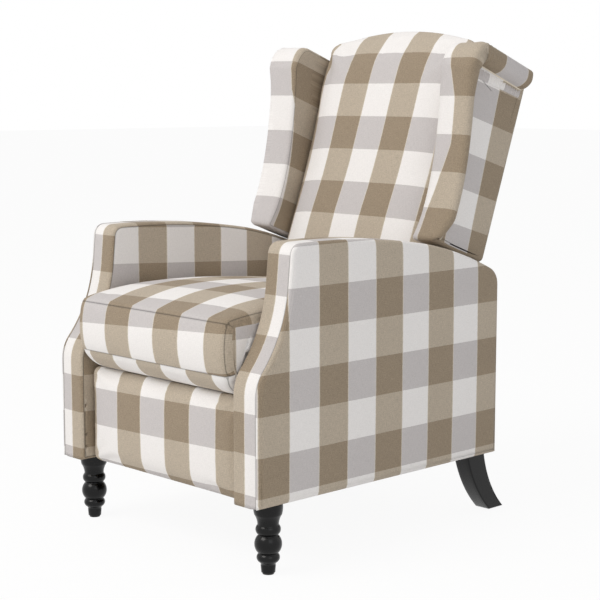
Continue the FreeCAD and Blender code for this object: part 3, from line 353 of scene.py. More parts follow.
def sewn(name: str, patches: list[Patch]) -> bpy.types.Object:
    """Sews patches into one closed piece along the borders that they share.

    Points that fall together are merged. A face with two merged corners becomes a triangle, and one with
    fewer than three separate corners is dropped.

    Args:
        name: Name of the piece.
        patches: Patches that cover the piece.

    Returns:
        The object, with the check cells on its face corners and the held weights as a vertex group.
    """
    points = np.vstack([p.points.reshape(-1, 3) for p in patches])
    cells = np.vstack([p.cells.reshape(-1, 2) for p in patches])
    held = np.concatenate([p.held.ravel() for p in patches])
    _, first, merged = np.unique(np.round(points * 50).astype(np.int64), axis=0, return_index=True,
                                 return_inverse=True)
    merged = merged.ravel()
    starts = np.cumsum([0] + [p.held.size for p in patches[:-1]])
    corners = np.vstack([quads_of(*p.held.shape) + start for p, start in zip(patches, starts)])
    joined = merged[corners]
    keep = joined != np.roll(joined, -1, axis=1)
    whole = keep.all(axis=1)
    narrow = keep.sum(axis=1) == 3
    faces = joined[whole].tolist() + joined[narrow][keep[narrow]].reshape(-1, 3).tolist()
    loops = np.vstack([cells[corners[whole]].reshape(-1, 2), cells[corners[narrow]][keep[narrow]]])
    item = mesh_object(name, points[first], faces, loops)
    beside = [np.full(p.held.shape, FAR) if p.seam is None else p.seam for p in patches]
    gaps = np.full(len(first), FAR)
    np.minimum.at(gaps, merged, np.concatenate([gap.ravel() for gap in beside]))
    layer = item.data.attributes.new(SEAM, "FLOAT", "POINT")
    layer.data.foreach_set("value", gaps.astype(np.float32))
    weights = np.zeros(len(first))
    np.maximum.at(weights, merged, held)
    group = item.vertex_groups.new(name="held")
    for level in np.unique(np.round(weights, 2)):
        group.add(np.flatnonzero(np.round(weights, 2) == level).tolist(), float(level), "REPLACE")
    return item


def coordinates(item: bpy.types.Object) -> Array:
    """The points of an object's mesh, in metres."""
    flat = np.empty(len(item.data.vertices) * 3, np.float32)
    item.data.vertices.foreach_get("co", flat)
    return flat.reshape(-1, 3).astype(float)


def set_coordinates(item: bpy.types.Object, points: Array) -> None:
    """Moves the points of an object's mesh."""
    item.data.vertices.foreach_set("co", points.astype(np.float32).ravel())
    item.data.update()


@dataclass(frozen=True)
class Filling:
    """How a padded piece swells: its air pressure, the farthest a point may move, and the cloth's stiffness."""

    pressure: float
    cap: float
    stretch: float = 18.0
    bending: float = 0.8
    fill: float = 0.7


class Stuffing:
    """Swells the padded pieces together in one run of the cloth simulation."""

    FRAMES = 20

    def __init__(self) -> None:
        """Starts with no pieces."""
        self.pieces: list[tuple[bpy.types.Object, Filling]] = []

    def add(self, item: bpy.types.Object, filling: Filling) -> None:
        self.pieces.append((item, filling))

    def run(self) -> None:
        """Runs the simulation once over all the pieces and keeps its result, capped, in their meshes."""
        for item, filling in self.pieces:
            cloth = item.modifiers.new("swelling", "CLOTH")
            cloth.settings.quality = 6
            cloth.settings.mass = 0.25
            cloth.settings.tension_stiffness = filling.stretch
            cloth.settings.compression_stiffness = filling.stretch
            cloth.settings.shear_stiffness = filling.stretch / 3
            cloth.settings.bending_stiffness = filling.bending
            cloth.settings.air_damping = 4.0
            cloth.settings.use_pressure = True
            cloth.settings.uniform_pressure_force = filling.pressure
            cloth.settings.vertex_group_mass = "held"
            cloth.settings.pin_stiffness = 1.0
            cloth.settings.effector_weights.gravity = 0.0
            cloth.collision_settings.use_self_collision = False
        scene = bpy.context.scene
        for number in range(1, self.FRAMES + 1):
            scene.frame_set(number)
        graph = bpy.context.evaluated_depsgraph_get()
        for item, filling in self.pieces:
            self.keep_result(item, filling, graph)
        scene.frame_set(1)

    @staticmethod
    def keep_result(item: bpy.types.Object, filling: Filling, graph: bpy.types.Depsgraph) -> None:
        """Takes a simulated shape into the mesh, each point moved by no more than the cap.

        Args:
            item: The piece.
            filling: Its filling, which gives the cap.
            graph: The evaluated scene at the last frame.
        """
        settled = item.evaluated_get(graph).data
        flat = np.empty(len(settled.vertices) * 3, np.float32)
        settled.vertices.foreach_get("co", flat)
        rest = coordinates(item)
        move = flat.reshape(-1, 3) - rest
        length = np.linalg.norm(move, axis=1, keepdims=True)
        reach = filling.cap * METRE
        # the move is eased towards the cap by a hyperbolic tangent, so no edge shows where it starts to act
        eased = reach * np.tanh(length / reach) / np.maximum(length, 1e-9)
        item.modifiers.remove(item.modifiers["swelling"])
        set_coordinates(item, rest + move * eased)
        LOG.info("%s swelled by up to %.1f mm", item.name, float((length * eased).max()) / METRE)


@dataclass
class RimmedSlab:
    """A slab with a shaped rim: two faces filled inside an outline, joined by rings that run round it.

    The rings are the outline moved inwards along its normals by an inset, at a distance across. The first ring
    borders the low face and the last one the high face. Both faces are filled grids that stand out by a swell.
    """

    ring: Array
    low_count: int
    side_count: int
    across: Array
    inset: Array
    plane: Plane
    low_swell: float = 0.0
    high_swell: float = 0.0
    swell_power: float = 0.7

    def __post_init__(self) -> None:
        """Spreads single values of a ring over its whole length, and measures the ring."""
        shape = (len(self.across), len(self.ring))
        self.across = np.broadcast_to(self.across.reshape(shape[0], -1), shape).copy()
        self.inset = np.broadcast_to(self.inset.reshape(shape[0], -1), shape).copy()
        steps = np.linalg.norm(np.roll(self.ring, -1, axis=0) - self.ring, axis=1)
        self.around = np.concatenate([[0.0], np.cumsum(steps)])
        self.normals = inward(self.ring)

    def rings(self) -> Array:
        """Every ring's points, along, up and across."""
        spots = self.ring[None] + self.normals[None] * self.inset[..., None]
        return np.concatenate([spots, self.across[..., None]], axis=2)

    def girth(self) -> Array:
        """Distance over the rim from the low face's border, at every ring and point."""
        steps = np.linalg.norm(np.diff(self.rings(), axis=0), axis=2)
        return np.vstack([np.zeros(len(self.ring)), np.cumsum(steps, axis=0)])

    def face(self, high: bool) -> Array:
        """The grid of one face, along, up and across, with its swell.

        Args:
            high: Whether it is the face at the far distance across.

        Returns:
            Points of the grid.
        """
        ring = self.rings()[-1 if high else 0]
        grid = filled(ring, self.low_count, self.side_count)
        bulge = swell(self.low_count, self.side_count, self.swell_power)
        grid[..., 2] += self.high_swell * bulge if high else -self.low_swell * bulge
        return grid

    def patches(self, face_cells: Callable[[Array, bool], Array], band_cells: Callable[[Array, Array, int], Array],
                low_rings: int, high_rings: int, face_held: float = 0.0, rim_held: Array | None = None,
                breaks: tuple[int, ...] = (), seams: tuple[int, ...] = (),
                crossings: tuple[int, ...] = ()) -> list[Patch]:
        """The patches of the slab.

        Args:
            face_cells: Gives check cells from points along and up, and whether they are on the high face.
            band_cells: Gives check cells from the distance round, the points with their distance over the rim,
                and the number of the stretch between two breaks.
            low_rings: Rings whose cloth is that of the low face, unrolled outwards.
            high_rings: Rings whose cloth is that of the high face, unrolled outwards.
            face_held: How firmly the faces are held in a simulation.
            rim_held: The same for each ring and point of the rim.
            breaks: Points of the outline where the band's cloth is cut.
            seams: Rings that are seams.
            crossings: Points of the outline where a seam crosses the rim.

        Returns:
            The two faces and the strips of the rim.
        """
        rings = self.wrapped(self.rings())
        girth = self.wrapped(self.girth())
        normals = np.vstack([self.normals, self.normals[:1]])
        count, columns = rings.shape[:2]
        held = np.zeros((count, columns)) if rim_held is None else self.wrapped(rim_held)
        beside = np.full((count, columns), FAR)
        for number in seams:
            beside = np.minimum(beside, np.abs(girth - girth[number]))
        for number in crossings:
            beside = np.minimum(beside, np.abs(self.around - self.around[number])[None])
        found = []
        for high in (False, True):
            grid = self.face(high)
            firm = np.full(grid.shape[:2], face_held)
            found.append(Patch(self.plane.place(grid), face_cells(grid[..., :2], high), firm))
        for start, stop, high in ((0, low_rings, False), (count - 1 - high_rings, count - 1, True)):
            if stop > start:
                rows = slice(start, stop + 1)
                border = rings[-1 if high else 0, :, :2]
                beyond = girth[-1] - girth[rows] if high else girth[rows]
                unrolled = border[None] - normals[None] * beyond[..., None]
                found.append(Patch(self.plane.place(rings[rows]), face_cells(unrolled, high), held[rows],
                                   beside[rows]))
        if count - 1 - high_rings > low_rings:
            rows = slice(low_rings, count - high_rings)
            ends = (0, *breaks, columns - 1)
            for number, (first, last) in enumerate(zip(ends[:-1], ends[1:])):
                part = rings[rows, first : last + 1]
                around = np.broadcast_to(self.around[first : last + 1], part.shape[:2])
                spots = np.concatenate([part, girth[rows, first : last + 1, None]], axis=2)
                cells = band_cells(around, spots, number)
                span = (rows, slice(first, last + 1))
                found.append(Patch(self.plane.place(part), cells, held[span], beside[span]))
        return found

    @staticmethod
    def wrapped(rows: Array) -> Array:
        """Repeats the first column at the end, so that a strip closes on itself."""
        return np.concatenate([rows, rows[:, :1]], axis=1)


def rounded_rim(low: float, high: float, radius: float, steps: int = 6, middle: int = 4) -> tuple[Array, Array]:
    """Distances across and insets of a rim with both edges rounded by quarter circles.

    Args:
        low: Distance across of the low face.
        high: Distance across of the high face.
        radius: Radius of both edges.
        steps: Rings on each rounding.
        middle: Steps on the straight part.

    Returns:
        The distances across and the insets, one of each for every ring.
    """
    angle = np.linspace(0, np.pi / 2, steps + 1)
    across = low + radius * (1 - np.cos(angle))
    inset = radius * (1 - np.sin(angle))
    straight = np.linspace(low + radius, high - radius, middle + 1)[1:-1]
    return (np.concatenate([across, straight, (low + high) - across[::-1]]),
            np.concatenate([inset, np.zeros(len(straight)), inset[::-1]]))


def rounded_front(front: float, rear: float, radius: float, steps: int) -> tuple[Array, Array]:
    """Distances across and insets of a rim whose front edge alone is rounded by a quarter circle.

    Args:
        front: Distance across of the front face.
        rear: Distance across of the rear face.
        radius: Radius of the front edge.
        steps: Steps on the straight part.

    Returns:
        The distances across and the insets, one of each for every ring.
    """
    angle = np.linspace(0, np.pi / 2, 8)
    across = np.concatenate([front + radius * (1 - np.cos(angle)),
                             np.linspace(front + radius, rear, steps + 1)[1:]])
    return across, np.concatenate([radius * (1 - np.sin(angle)), np.zeros(steps)])


def tube(name: str, path: Array, radius: float, sides: int = 10) -> bpy.types.Object:
    """A round cord along a path, closed at both ends.

    Each ring is a circle square to the path. Its two directions are the cross products of the path's direction
    with a fixed upright and with the first of them.

    Args:
        name: Name of the piece.
        path: Points of its middle line, in millimetres.
        radius: Radius of the cord.
        sides: Points round it.

    Returns:
        The object.
    """
    ahead = np.gradient(path, axis=0)
    ahead /= np.linalg.norm(ahead, axis=1, keepdims=True)
    side = np.cross(ahead, np.array([0.9, 0.31, 0.17]))
    side /= np.linalg.norm(side, axis=1, keepdims=True)
    other = np.cross(ahead, side)
    angle = np.linspace(0, 2 * np.pi, sides, endpoint=False)[None, :, None]
    rings = path[:, None] + radius * (np.cos(angle) * side[:, None] + np.sin(angle) * other[:, None])
    points = np.vstack([rings.reshape(-1, 3), path[:1], path[-1:]])
    count = len(path)
    index = np.arange(count * sides).reshape(count, sides)
    after = np.roll(index, -1, axis=1)
    walls = np.stack([index[:-1], after[:-1], after[1:], index[1:]], -1).reshape(-1, 4).tolist()
    start = [[count * sides, b, a] for a, b in zip(index[0], after[0])]
    end = [[count * sides + 1, a, b] for a, b in zip(index[-1], after[-1])]
    faces = walls + [[int(c) for c in face] for face in start + end]
    loops = np.zeros((sum(len(f) for f in faces), 2))
    return mesh_object(name, points, faces, loops + [0.5, 0.5])


def turned(name: str, profile: Array, centre: Pair, sides: int = 72) -> bpy.types.Object:
    """A turned piece: a profile of radii and heights carried round an upright line.

    Args:
        name: Name of the piece.
        profile: Radius and height of each point, from the bottom to the top.
        centre: Where the line stands.
        sides: Points round it.

    Returns:
        The object, closed at both ends.
    """
    angle = np.linspace(0, 2 * np.pi, sides, endpoint=False)
    radius, height = profile[:, :1], profile[:, 1:]
    x = centre[0] + radius * np.cos(angle)
    y = centre[1] + radius * np.sin(angle)
    rings = np.stack([x, y, np.broadcast_to(height, x.shape)], -1)
    ends = np.array([[*centre, profile[0, 1]], [*centre, profile[-1, 1]]])
    points = np.vstack([rings.reshape(-1, 3), ends])
    count = len(profile)
    index = np.arange(count * sides).reshape(count, sides)
    after = np.roll(index, -1, axis=1)
    walls = np.stack([index[:-1], after[:-1], after[1:], index[1:]], -1).reshape(-1, 4).tolist()
    start = [[count * sides, int(b), int(a)] for a, b in zip(index[0], after[0])]
    end = [[count * sides + 1, int(a), int(b)] for a, b in zip(index[-1], after[-1])]
    return mesh_object(name, points, walls + start + end)


# Shader maths


class Value:
    """A shader socket that takes part in sums; each sum adds a Math node."""

    def __init__(self, graph: "Graph", socket: bpy.types.NodeSocket) -> None:
        """Wraps a socket of a graph."""
        self.graph = graph
        self.socket = socket

    def maths(self, operation: str, *others: "Value | float", swapped: bool = False) -> "Value":
        """Adds a Math node.

        Args:
            operation: Its operation.
            *others: The other terms.
            swapped: Whether this value comes last.

        Returns:
            The node's result.
        """
        terms = (*others, self) if swapped else (self, *others)
        node = self.graph.node("ShaderNodeMath", {"operation": operation}, dict(enumerate(terms)))
        return Value(self.graph, node.outputs[0])

    def __add__(self, other: "Value | float") -> "Value":
        """Sum."""
        return self.maths("ADD", other)

    def __radd__(self, other: float) -> "Value":
        """Sum with a number on the left."""
        return self.maths("ADD", other, swapped=True)

    def __sub__(self, other: "Value | float") -> "Value":
        """Difference."""
        return self.maths("SUBTRACT", other)

    def __rsub__(self, other: float) -> "Value":
        """Difference from a number."""
        return self.maths("SUBTRACT", other, swapped=True)

    def __mul__(self, other: "Value | float") -> "Value":
        """Product."""
        return self.maths("MULTIPLY", other)

    def __rmul__(self, other: float) -> "Value":
        """Product with a number on the left."""
        return self.maths("MULTIPLY", other, swapped=True)

    def __gt__(self, other: "Value | float") -> "Value":
        """One where this value is the larger, and zero elsewhere."""
        return self.maths("GREATER_THAN", other)

    def __lt__(self, other: "Value | float") -> "Value":
        """One where this value is the smaller, and zero elsewhere."""
        return self.maths("LESS_THAN", other)

    def wrapped(self, period: float) -> "Value":
        """The remainder in a repeating range from zero to the period."""
        return self.maths("WRAP", period, 0.0)

    def sine(self) -> "Value":
        """Sine of the value in radians."""
        return self.maths("SINE")


class Graph:
    """The nodes of a material or of a world."""

    def __init__(self, name: str, world: bool = False) -> None:
        """Makes an empty material or world."""
        self.holder = (bpy.data.worlds if world else bpy.data.materials).new(name)
        self.holder.use_nodes = True
        self.tree = self.holder.node_tree
        self.tree.nodes.clear()

    def node(self, kind: str, settings: dict | None = None, inputs: dict | None = None) -> bpy.types.Node:
        """Adds a node, sets it up and joins its sockets.

        Args:
            kind: Type of the node.
            settings: Its settings; stops, for a ramp, is a list of positions and colours.
            inputs: Values or links of its sockets, by name or number.

        Returns:
            The node.
        """
        node = self.tree.nodes.new(kind)
        for key, setting in (settings or {}).items():
            if key == "stops":
                for index, (position, colour) in enumerate(setting):
                    stop = node.color_ramp.elements[index] if index < 2 else node.color_ramp.elements.new(position)
                    stop.position, stop.color = position, colour
            else:
                setattr(node, key, setting)
        for key, item in (inputs or {}).items():
            if isinstance(item, Value):
                self.tree.links.new(item.socket, node.inputs[key])
            else:
                socket = node.inputs[key]
                socket.default_value = item[:3] if socket.type == "VECTOR" and isinstance(item, tuple) else item
        return node

    def value(self, kind: str, settings: dict | None = None, inputs: dict | None = None,
              output: int | str = 0) -> Value:
        """Adds a node and gives one of its results."""
        return Value(self, self.node(kind, settings, inputs).outputs[output])

    def mix(self, factor: Value | float, first: Value | Colour, second: Value | Colour) -> Value:
        """A colour between two, by a factor."""
        settings = {"data_type": "RGBA"}
        return self.value("ShaderNodeMix", settings, {0: factor, 6: first, 7: second}, 2)

    def tinted(self, colour: Value | Colour, strength: Value) -> Value:
        """A colour made darker or lighter by a factor near one."""
        grey = self.value("ShaderNodeCombineXYZ", None, {0: strength, 1: strength, 2: strength})
        return self.value("ShaderNodeVectorMath", {"operation": "MULTIPLY"}, {0: colour, 1: grey})

    def noise(self, vector: Value, scale: float, detail: float = 3.0, stretch: tuple = (1.0, 1.0, 1.0)) -> Value:
        """Cloudy noise from 0 to 1, stretched by a factor each way."""
        spread = self.value("ShaderNodeMapping", None, {"Vector": vector, "Scale": stretch})
        return self.value("ShaderNodeTexNoise", None, {"Vector": spread, "Scale": scale, "Detail": detail})

    def background(self) -> Value:
        """One where the camera, a gloss or a glass looks, and zero for light that falls on other things."""
        path = self.node("ShaderNodeLightPath")
        camera, gloss, glass = (Value(self, path.outputs[ray])
                                for ray in ("Is Camera Ray", "Is Glossy Ray", "Is Transmission Ray"))
        return (camera + gloss + glass).maths("MINIMUM", 1.0)

    def place(self) -> Value:
        """The point's place in the chair, in metres."""
        return self.value("ShaderNodeTexCoord", None, None, "Object")

    def bumped(self, height: Value, strength: float, distance: float) -> Value:
        """A normal tilted by a height."""
        return self.value("ShaderNodeBump", None, {"Height": height, "Strength": strength, "Distance": distance})

    def finish(self, colour: Value | Colour, roughness: Value | float, normal: Value | None = None,
               **constants: float) -> bpy.types.Material:
        """Adds the surface shader and gives the material.

        Args:
            colour: Base colour.
            roughness: Roughness.
            normal: Normal, where the surface has relief.
            **constants: Other sockets, named with underscores for spaces.

        Returns:
            The finished material.
        """
        inputs = {"Base Color": colour, "Roughness": roughness}
        inputs.update({key.replace("_", " "): item for key, item in constants.items()})
        if normal is not None:
            inputs["Normal"] = normal
        self.node("ShaderNodeOutputMaterial", None, {0: self.value("ShaderNodeBsdfPrincipled", None, inputs)})
        return self.holder


def tone(red: float, green: float, blue: float) -> Colour:
    """A colour given as it looks, from 0 to 255, turned into linear light."""
    parts = np.array([red, green, blue]) / 255
    linear = np.where(parts <= 0.04045, parts / 12.92, ((parts + 0.055) / 1.055) ** 2.4)
    return (*(float(part) for part in linear), 1.0)


@dataclass(frozen=True)
class CheckCloth:
    """A woven check of two stripe colours crossed by two row colours, on the pieces' own check cells."""

    pale: Colour = tone(243, 240, 238)
    pale_row: Colour = tone(203, 198, 197)
    brown: Colour = tone(187, 174, 156)
    brown_row: Colour = tone(154, 138, 117)
    cream: Colour = tone(228, 219, 204)
    line: float = 0.014
    threads: float = 64.0

    def build(self) -> bpy.types.Material:
        """Makes the material.

        A stripe is brown and a row is dark where the cell's number is odd, which is where the coordinate,
        wrapped at 2, is above 1. Slubs are noise drawn out along the threads of both directions. The relief is
        a sine for the threads each way.

        Returns:
            The material.
        """
        graph = Graph("check_cloth")
        cell = graph.value("ShaderNodeUVMap", {"uv_map": CELLS})
        parts = graph.node("ShaderNodeSeparateXYZ", None, {0: cell})
        across, along = Value(graph, parts.outputs[0]), Value(graph, parts.outputs[1])
        waver = (graph.noise(cell, 9.0, 2.0) - 0.5) * 0.02
        upright_slub = graph.noise(cell, 1.0, 2.5, (88.0, 7.0, 1.0))
        level_slub = graph.noise(cell, 1.0, 2.5, (7.0, 88.0, 1.0))
        stripe = (across + waver).wrapped(2.0)
        row = (along + waver).wrapped(2.0)
        brown = stripe > 1.0
        dark = row > 1.0
        edge = (stripe.wrapped(1.0) - 0.5).maths("ABSOLUTE") > (0.5 - self.line)
        plain = graph.mix(dark, self.pale, self.pale_row)
        tan = graph.mix(dark, self.brown, self.brown_row)
        cloth = graph.mix(brown, plain, tan)
        cloth = graph.mix(edge * 0.55, cloth, self.cream)
        speck = graph.noise(cell, 36.0, 2.0)
        slub = (upright_slub - 0.5) * 0.5 + (level_slub - 0.5) * 0.34 + (speck - 0.5) * 0.6
        mottle = (graph.noise(cell, 1.6, 3.0) - 0.5) * 0.06
        depth = 0.35 + brown * 0.75 + dark * 0.2
        # painted shade: the colour is darkened within 2.4 mm of a seam, most within 0.9 mm, as shade in the seam's
        # groove; the same mask also sinks the relief there
        gap = graph.value("ShaderNodeAttribute", {"attribute_name": SEAM}, None, "Fac")
        closed = (gap < 0.9) * 0.42 + (gap < 2.4) * 0.1
        cloth = graph.tinted(cloth, (1.0 + (slub + mottle) * depth) * (1.0 - closed))
        turn = 2 * math.pi * self.threads
        threads = (across * turn).sine() * (along * turn).sine()
        weave = threads * 0.5 + (upright_slub + level_slub) * 0.9 - closed * 3.0
        rough = 0.86 + (level_slub - 0.5) * 0.12
        return graph.finish(cloth, rough, graph.bumped(weave, 0.35, 0.0006), Sheen_Weight=0.12,
                            Sheen_Roughness=0.6, Specular_IOR_Level=0.25)


@dataclass(frozen=True)
class Lacquer:
    """Black lacquer on turned wood, with faint grain under it and a faint dusty mottle."""

    colour: Colour = tone(4, 4, 5)
    worn: Colour = tone(14, 13, 13)

    def build(self) -> bpy.types.Material:
        """Makes the material.

        Returns:
            The material.
        """
        graph = Graph("black_lacquer")
        place = graph.place()
        grain = graph.noise(place, 60.0, 4.0, (1.0, 1.0, 0.12))
        dust = graph.noise(place, 24.0, 3.0)
        colour = graph.mix((dust - 0.45) * 0.5, self.colour, self.worn)
        rough = 0.2 + dust * 0.14
        return graph.finish(colour, rough, graph.bumped(grain, 0.12, 0.0005), Coat_Weight=0.12,
                            Coat_Roughness=0.06, Specular_IOR_Level=0.22)


@dataclass(frozen=True)
class Wood:
    """Sawn wood with long grain, or plywood with its layers."""

    name: str
    pale: Colour
    dark: Colour
    stretch: tuple[float, float, float]
    layers: float = 0.0

    def build(self) -> bpy.types.Material:
        """Makes the material.

        Returns:
            The material.
        """
        graph = Graph(self.name)
        place = graph.place()
        grain = graph.noise(place, 30.0, 6.0, self.stretch)
        fibre = graph.noise(place, 220.0, 2.0, self.stretch)
        mask = grain * 0.8 + fibre * 0.35
        if self.layers:
            spot = graph.node("ShaderNodeSeparateXYZ", None, {0: place})
            bands = (Value(graph, spot.outputs[0]) * self.layers).sine()
            mask = mask + bands * 0.12
        colour = graph.mix(mask, self.pale, self.dark)
        return graph.finish(colour, 0.62 + fibre * 0.2, graph.bumped(mask, 0.25, 0.0008))


@dataclass(frozen=True)
class Metal:
    """Pressed or drawn metal with a brushed or plated surface."""

    name: str
    colour: Colour
    rough: float
    metallic: float = 1.0

    def build(self) -> bpy.types.Material:
        """Makes the material.

        Returns:
            The material.
        """
        graph = Graph(self.name)
        place = graph.place()
        scratch = graph.noise(place, 240.0, 3.0, (1.0, 0.15, 1.0))
        bloom = graph.noise(place, 18.0, 3.0)
        colour = graph.tinted(self.colour, 0.82 + bloom * 0.32)
        rough = self.rough + (scratch - 0.5) * 0.2 + (bloom - 0.5) * 0.16
        return graph.finish(colour, rough, graph.bumped(scratch, 0.12, 0.0003), Metallic=self.metallic)


@dataclass(frozen=True)
class Strap:
    """Elastic webbing with ribs across and a fine fuzz."""

    pale: Colour = tone(196, 184, 160)
    dark: Colour = tone(86, 74, 60)

    def build(self) -> bpy.types.Material:
        """Makes the material.

        Returns:
            The material.
        """
        graph = Graph("elastic_webbing")
        place = graph.place()
        spot = graph.node("ShaderNodeSeparateXYZ", None, {0: place})
        ribs = (Value(graph, spot.outputs[0]) * 2200.0).sine()
        fuzz = graph.noise(place, 400.0, 2.0)
        colour = graph.mix(ribs * 0.25 + fuzz * 0.6, self.pale, self.dark)
        return graph.finish(colour, 0.88, graph.bumped(ribs + fuzz, 0.3, 0.0006))


@dataclass(frozen=True)
class PlainCloth:
    """Cream cloth of the same yarn as the check, for piping."""

    colour: Colour = tone(236, 226, 208)

    def build(self) -> bpy.types.Material:
        """Makes the material.

        Returns:
            The material.
        """
        graph = Graph("cream_piping")
        place = graph.place()
        slub = graph.noise(place, 900.0, 2.0, (1.0, 1.0, 0.3))
        shade = graph.noise(place, 30.0, 2.0)
        colour = graph.tinted(self.colour, 0.88 + slub * 0.12 + shade * 0.08)
        return graph.finish(colour, 0.9, graph.bumped(slub, 0.4, 0.0006))


@dataclass(frozen=True)
class Moulded:
    """Moulded nylon with a fine texture."""

    colour: Colour = tone(44, 43, 42)

    def build(self) -> bpy.types.Material:
        """Makes the material.

        Returns:
            The material.
        """
        graph = Graph("nylon")
        grit = graph.noise(graph.place(), 600.0, 2.0)
        return graph.finish(graph.tinted(self.colour, 0.85 + grit * 0.3), 0.5 + grit * 0.15,
                            graph.bumped(grit, 0.2, 0.0002))


class Finishes:
    """The materials of the chair, made once."""

    def __init__(self) -> None:
        """Makes every material."""
        self.cloth = CheckCloth().build()
        self.piping = PlainCloth().build()
        self.lacquer = Lacquer().build()
        self.timber = Wood("beech", tone(214, 182, 138), tone(168, 128, 84), (0.6, 1.0, 1.0)).build()
        self.plywood = Wood("plywood", tone(206, 174, 128), tone(150, 112, 72), (1.0, 0.5, 0.5), 1400.0).build()
        self.steel = Metal("linkage_steel", tone(150, 152, 156), 0.36).build()
        self.spring = Metal("spring_steel", tone(92, 92, 96), 0.42).build()
        self.bolt = Metal("plated_steel", tone(186, 184, 176), 0.3).build()
        self.strap = Strap().build()
        self.nylon = Moulded().build()


def dress(item: bpy.types.Object, material: bpy.types.Material, body: str) -> None:
    """Gives a piece its material and the body it rides on."""
    item.data.materials.clear()
    item.data.materials.append(material)
    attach(item, body)


# Sub-assemblies


def cells_of(across: Array, along: Array) -> Array:
    """Check cells from millimetres across and along the cloth."""
    return np.stack(np.broadcast_arrays(across, along), -1) / CHECK


def mirrored(patches: list[Patch], side: Side) -> list[Patch]:
    """The same patches on one side of the chair, from those of the right side."""
    turn = np.array([side.value, 1.0, 1.0])
    return [Patch(p.points * turn, p.cells, p.held, p.seam) for p in patches]


@dataclass
class Arm:
    """An upholstered arm: two side panels, and a front and top band of two stripes sewn between them."""

    side: Side
    inner: float = 238.0
    edge: float = 8.0
    low_count: int = 96
    side_count: int = 56
    stripe_y: float = -342.0
    row_z: float = 543.6
    band_stripe_x: float = 273.0
    band_row: float = 179.0
    heel: Pair = (24.0, 89.0)
    heel_drop: float = 126.0
    heel_radius: float = 40.0
    slope: Pair = (466.0, 26.0)
    slope_radius: float = 947.0
    crest_run: float = 112.0
    crest_radius: float = 1810.0
    brow: Pair = (88.0, 20.0)
    brow_radius: float = 24.0
    throat: Pair = (82.0, 81.0)
    hollow: Pair = (20.0, 229.0)
    hollow_radius: float = 274.0
    shoulder_drop: float = 281.0
    shoulder_radius: float = 78.0
    outer_bulge: float = 3.0
    seam_depth: float = 1.3
    rim_steps: int = 6

    def outline(self) -> Array:
        """The arm's side outline: shoulder, hollow front, round top corner and sloping top.

        Its turning points are given as a run back from the front, or forward from the rear for the heel, and a
        drop from the top.

        Returns:
            The ring of the outline in depth and height.
        """
        low, high = node_range(f"arm_cover_{self.side.label}")
        front, rear, foot, top = low[1], high[1], low[2], high[2]
        out = Turn.ANTICLOCKWISE
        edges = [
            Outline((front, foot)).run((rear, foot)),
            Outline((rear, foot)).run((rear, top - self.heel_drop)),
            Outline((rear, top - self.heel_drop))
            .bend((rear - self.heel[0], top - self.heel[1]), self.heel_radius, out)
            .bend((front + self.slope[0], top - self.slope[1]), self.slope_radius, out)
            .bend((front + self.crest_run, top), self.crest_radius, out, 40)
            .bend((front + self.brow[0], top - self.brow[1]), self.brow_radius, out),
            Outline((front + self.brow[0], top - self.brow[1]))
            .run((front + self.throat[0], top - self.throat[1]))
            .bend((front + self.hollow[0], top - self.hollow[1]), self.hollow_radius, Turn.CLOCKWISE)
            .bend((front, top - self.shoulder_drop), self.shoulder_radius, out).run((front, foot)),
        ]
        return ring_of(edges, self.low_count, self.side_count)

    def face_cells(self, flat: Array, high: bool) -> Array:
        """Cells of the side panels; the inner one hangs a little out of square."""
        y, z = flat[..., 0], flat[..., 1]
        level = self.row_z if high else self.row_z + 2.4 - 0.055 * (y + 340)
        return cells_of(y - self.stripe_y, level - z + CHECK)

    def make(self, finishes: Finishes) -> bpy.types.Object:
        """Builds and dresses the arm.

        Args:
            finishes: The materials.

        Returns:
            The arm.
        """
        low, high = node_range(f"arm_cover_{self.side.label}")
        outer = float(max(-low[0], high[0]))
        across, inset = rounded_rim(self.inner, outer - self.outer_bulge / 2, self.edge, self.rim_steps)
        seam = len(across) - self.rim_steps - 1
        inset[seam] += self.seam_depth
        slab = RimmedSlab(self.outline(), self.low_count, self.side_count, across, inset, SIDE_PLANE,
                          high_swell=self.outer_bulge, swell_power=0.35)
        length = slab.around[-1]

        def band_cells(around: Array, spots: Array, _: int) -> Array:
            """Cells of the band, its rows counted up the front from the bottom."""
            return cells_of(spots[..., 2] - self.band_stripe_x, length - around - self.band_row)

        patches = slab.patches(self.face_cells, band_cells, 1, self.rim_steps, seams=(1, seam))
        item = sewn(f"upholstered_arm_{self.side.label}", mirrored(patches, self.side))
        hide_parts(f"arm_cover_{self.side.label}")
        dress(item, finishes.cloth, "base")
        return item


def rounded_rectangle(low: Pair, high: Pair, radius: float) -> list[Outline]:
    """The four edges of a rectangle with round corners; the corners belong to the bottom and the top.

    Args:
        low: Its lower left corner.
        high: Its upper right corner.
        radius: Radius of its corners.

    Returns:
        Bottom, right, top and left edge.
    """
    (x0, y0), (x1, y1) = low, high
    turn = Turn.ANTICLOCKWISE
    return [
        Outline((x0, y0 + radius)).bend((x0 + radius, y0), radius, turn, 8).run((x1 - radius, y0))
        .bend((x1, y0 + radius), radius, turn, 8),
        Outline((x1, y0 + radius)).run((x1, y1 - radius)),
        Outline((x1, y1 - radius)).bend((x1 - radius, y1), radius, turn, 8).run((x0 + radius, y1))
        .bend((x0, y1 - radius), radius, turn, 8),
        Outline((x0, y1 - radius)).run((x0, y0 + radius)),
    ]


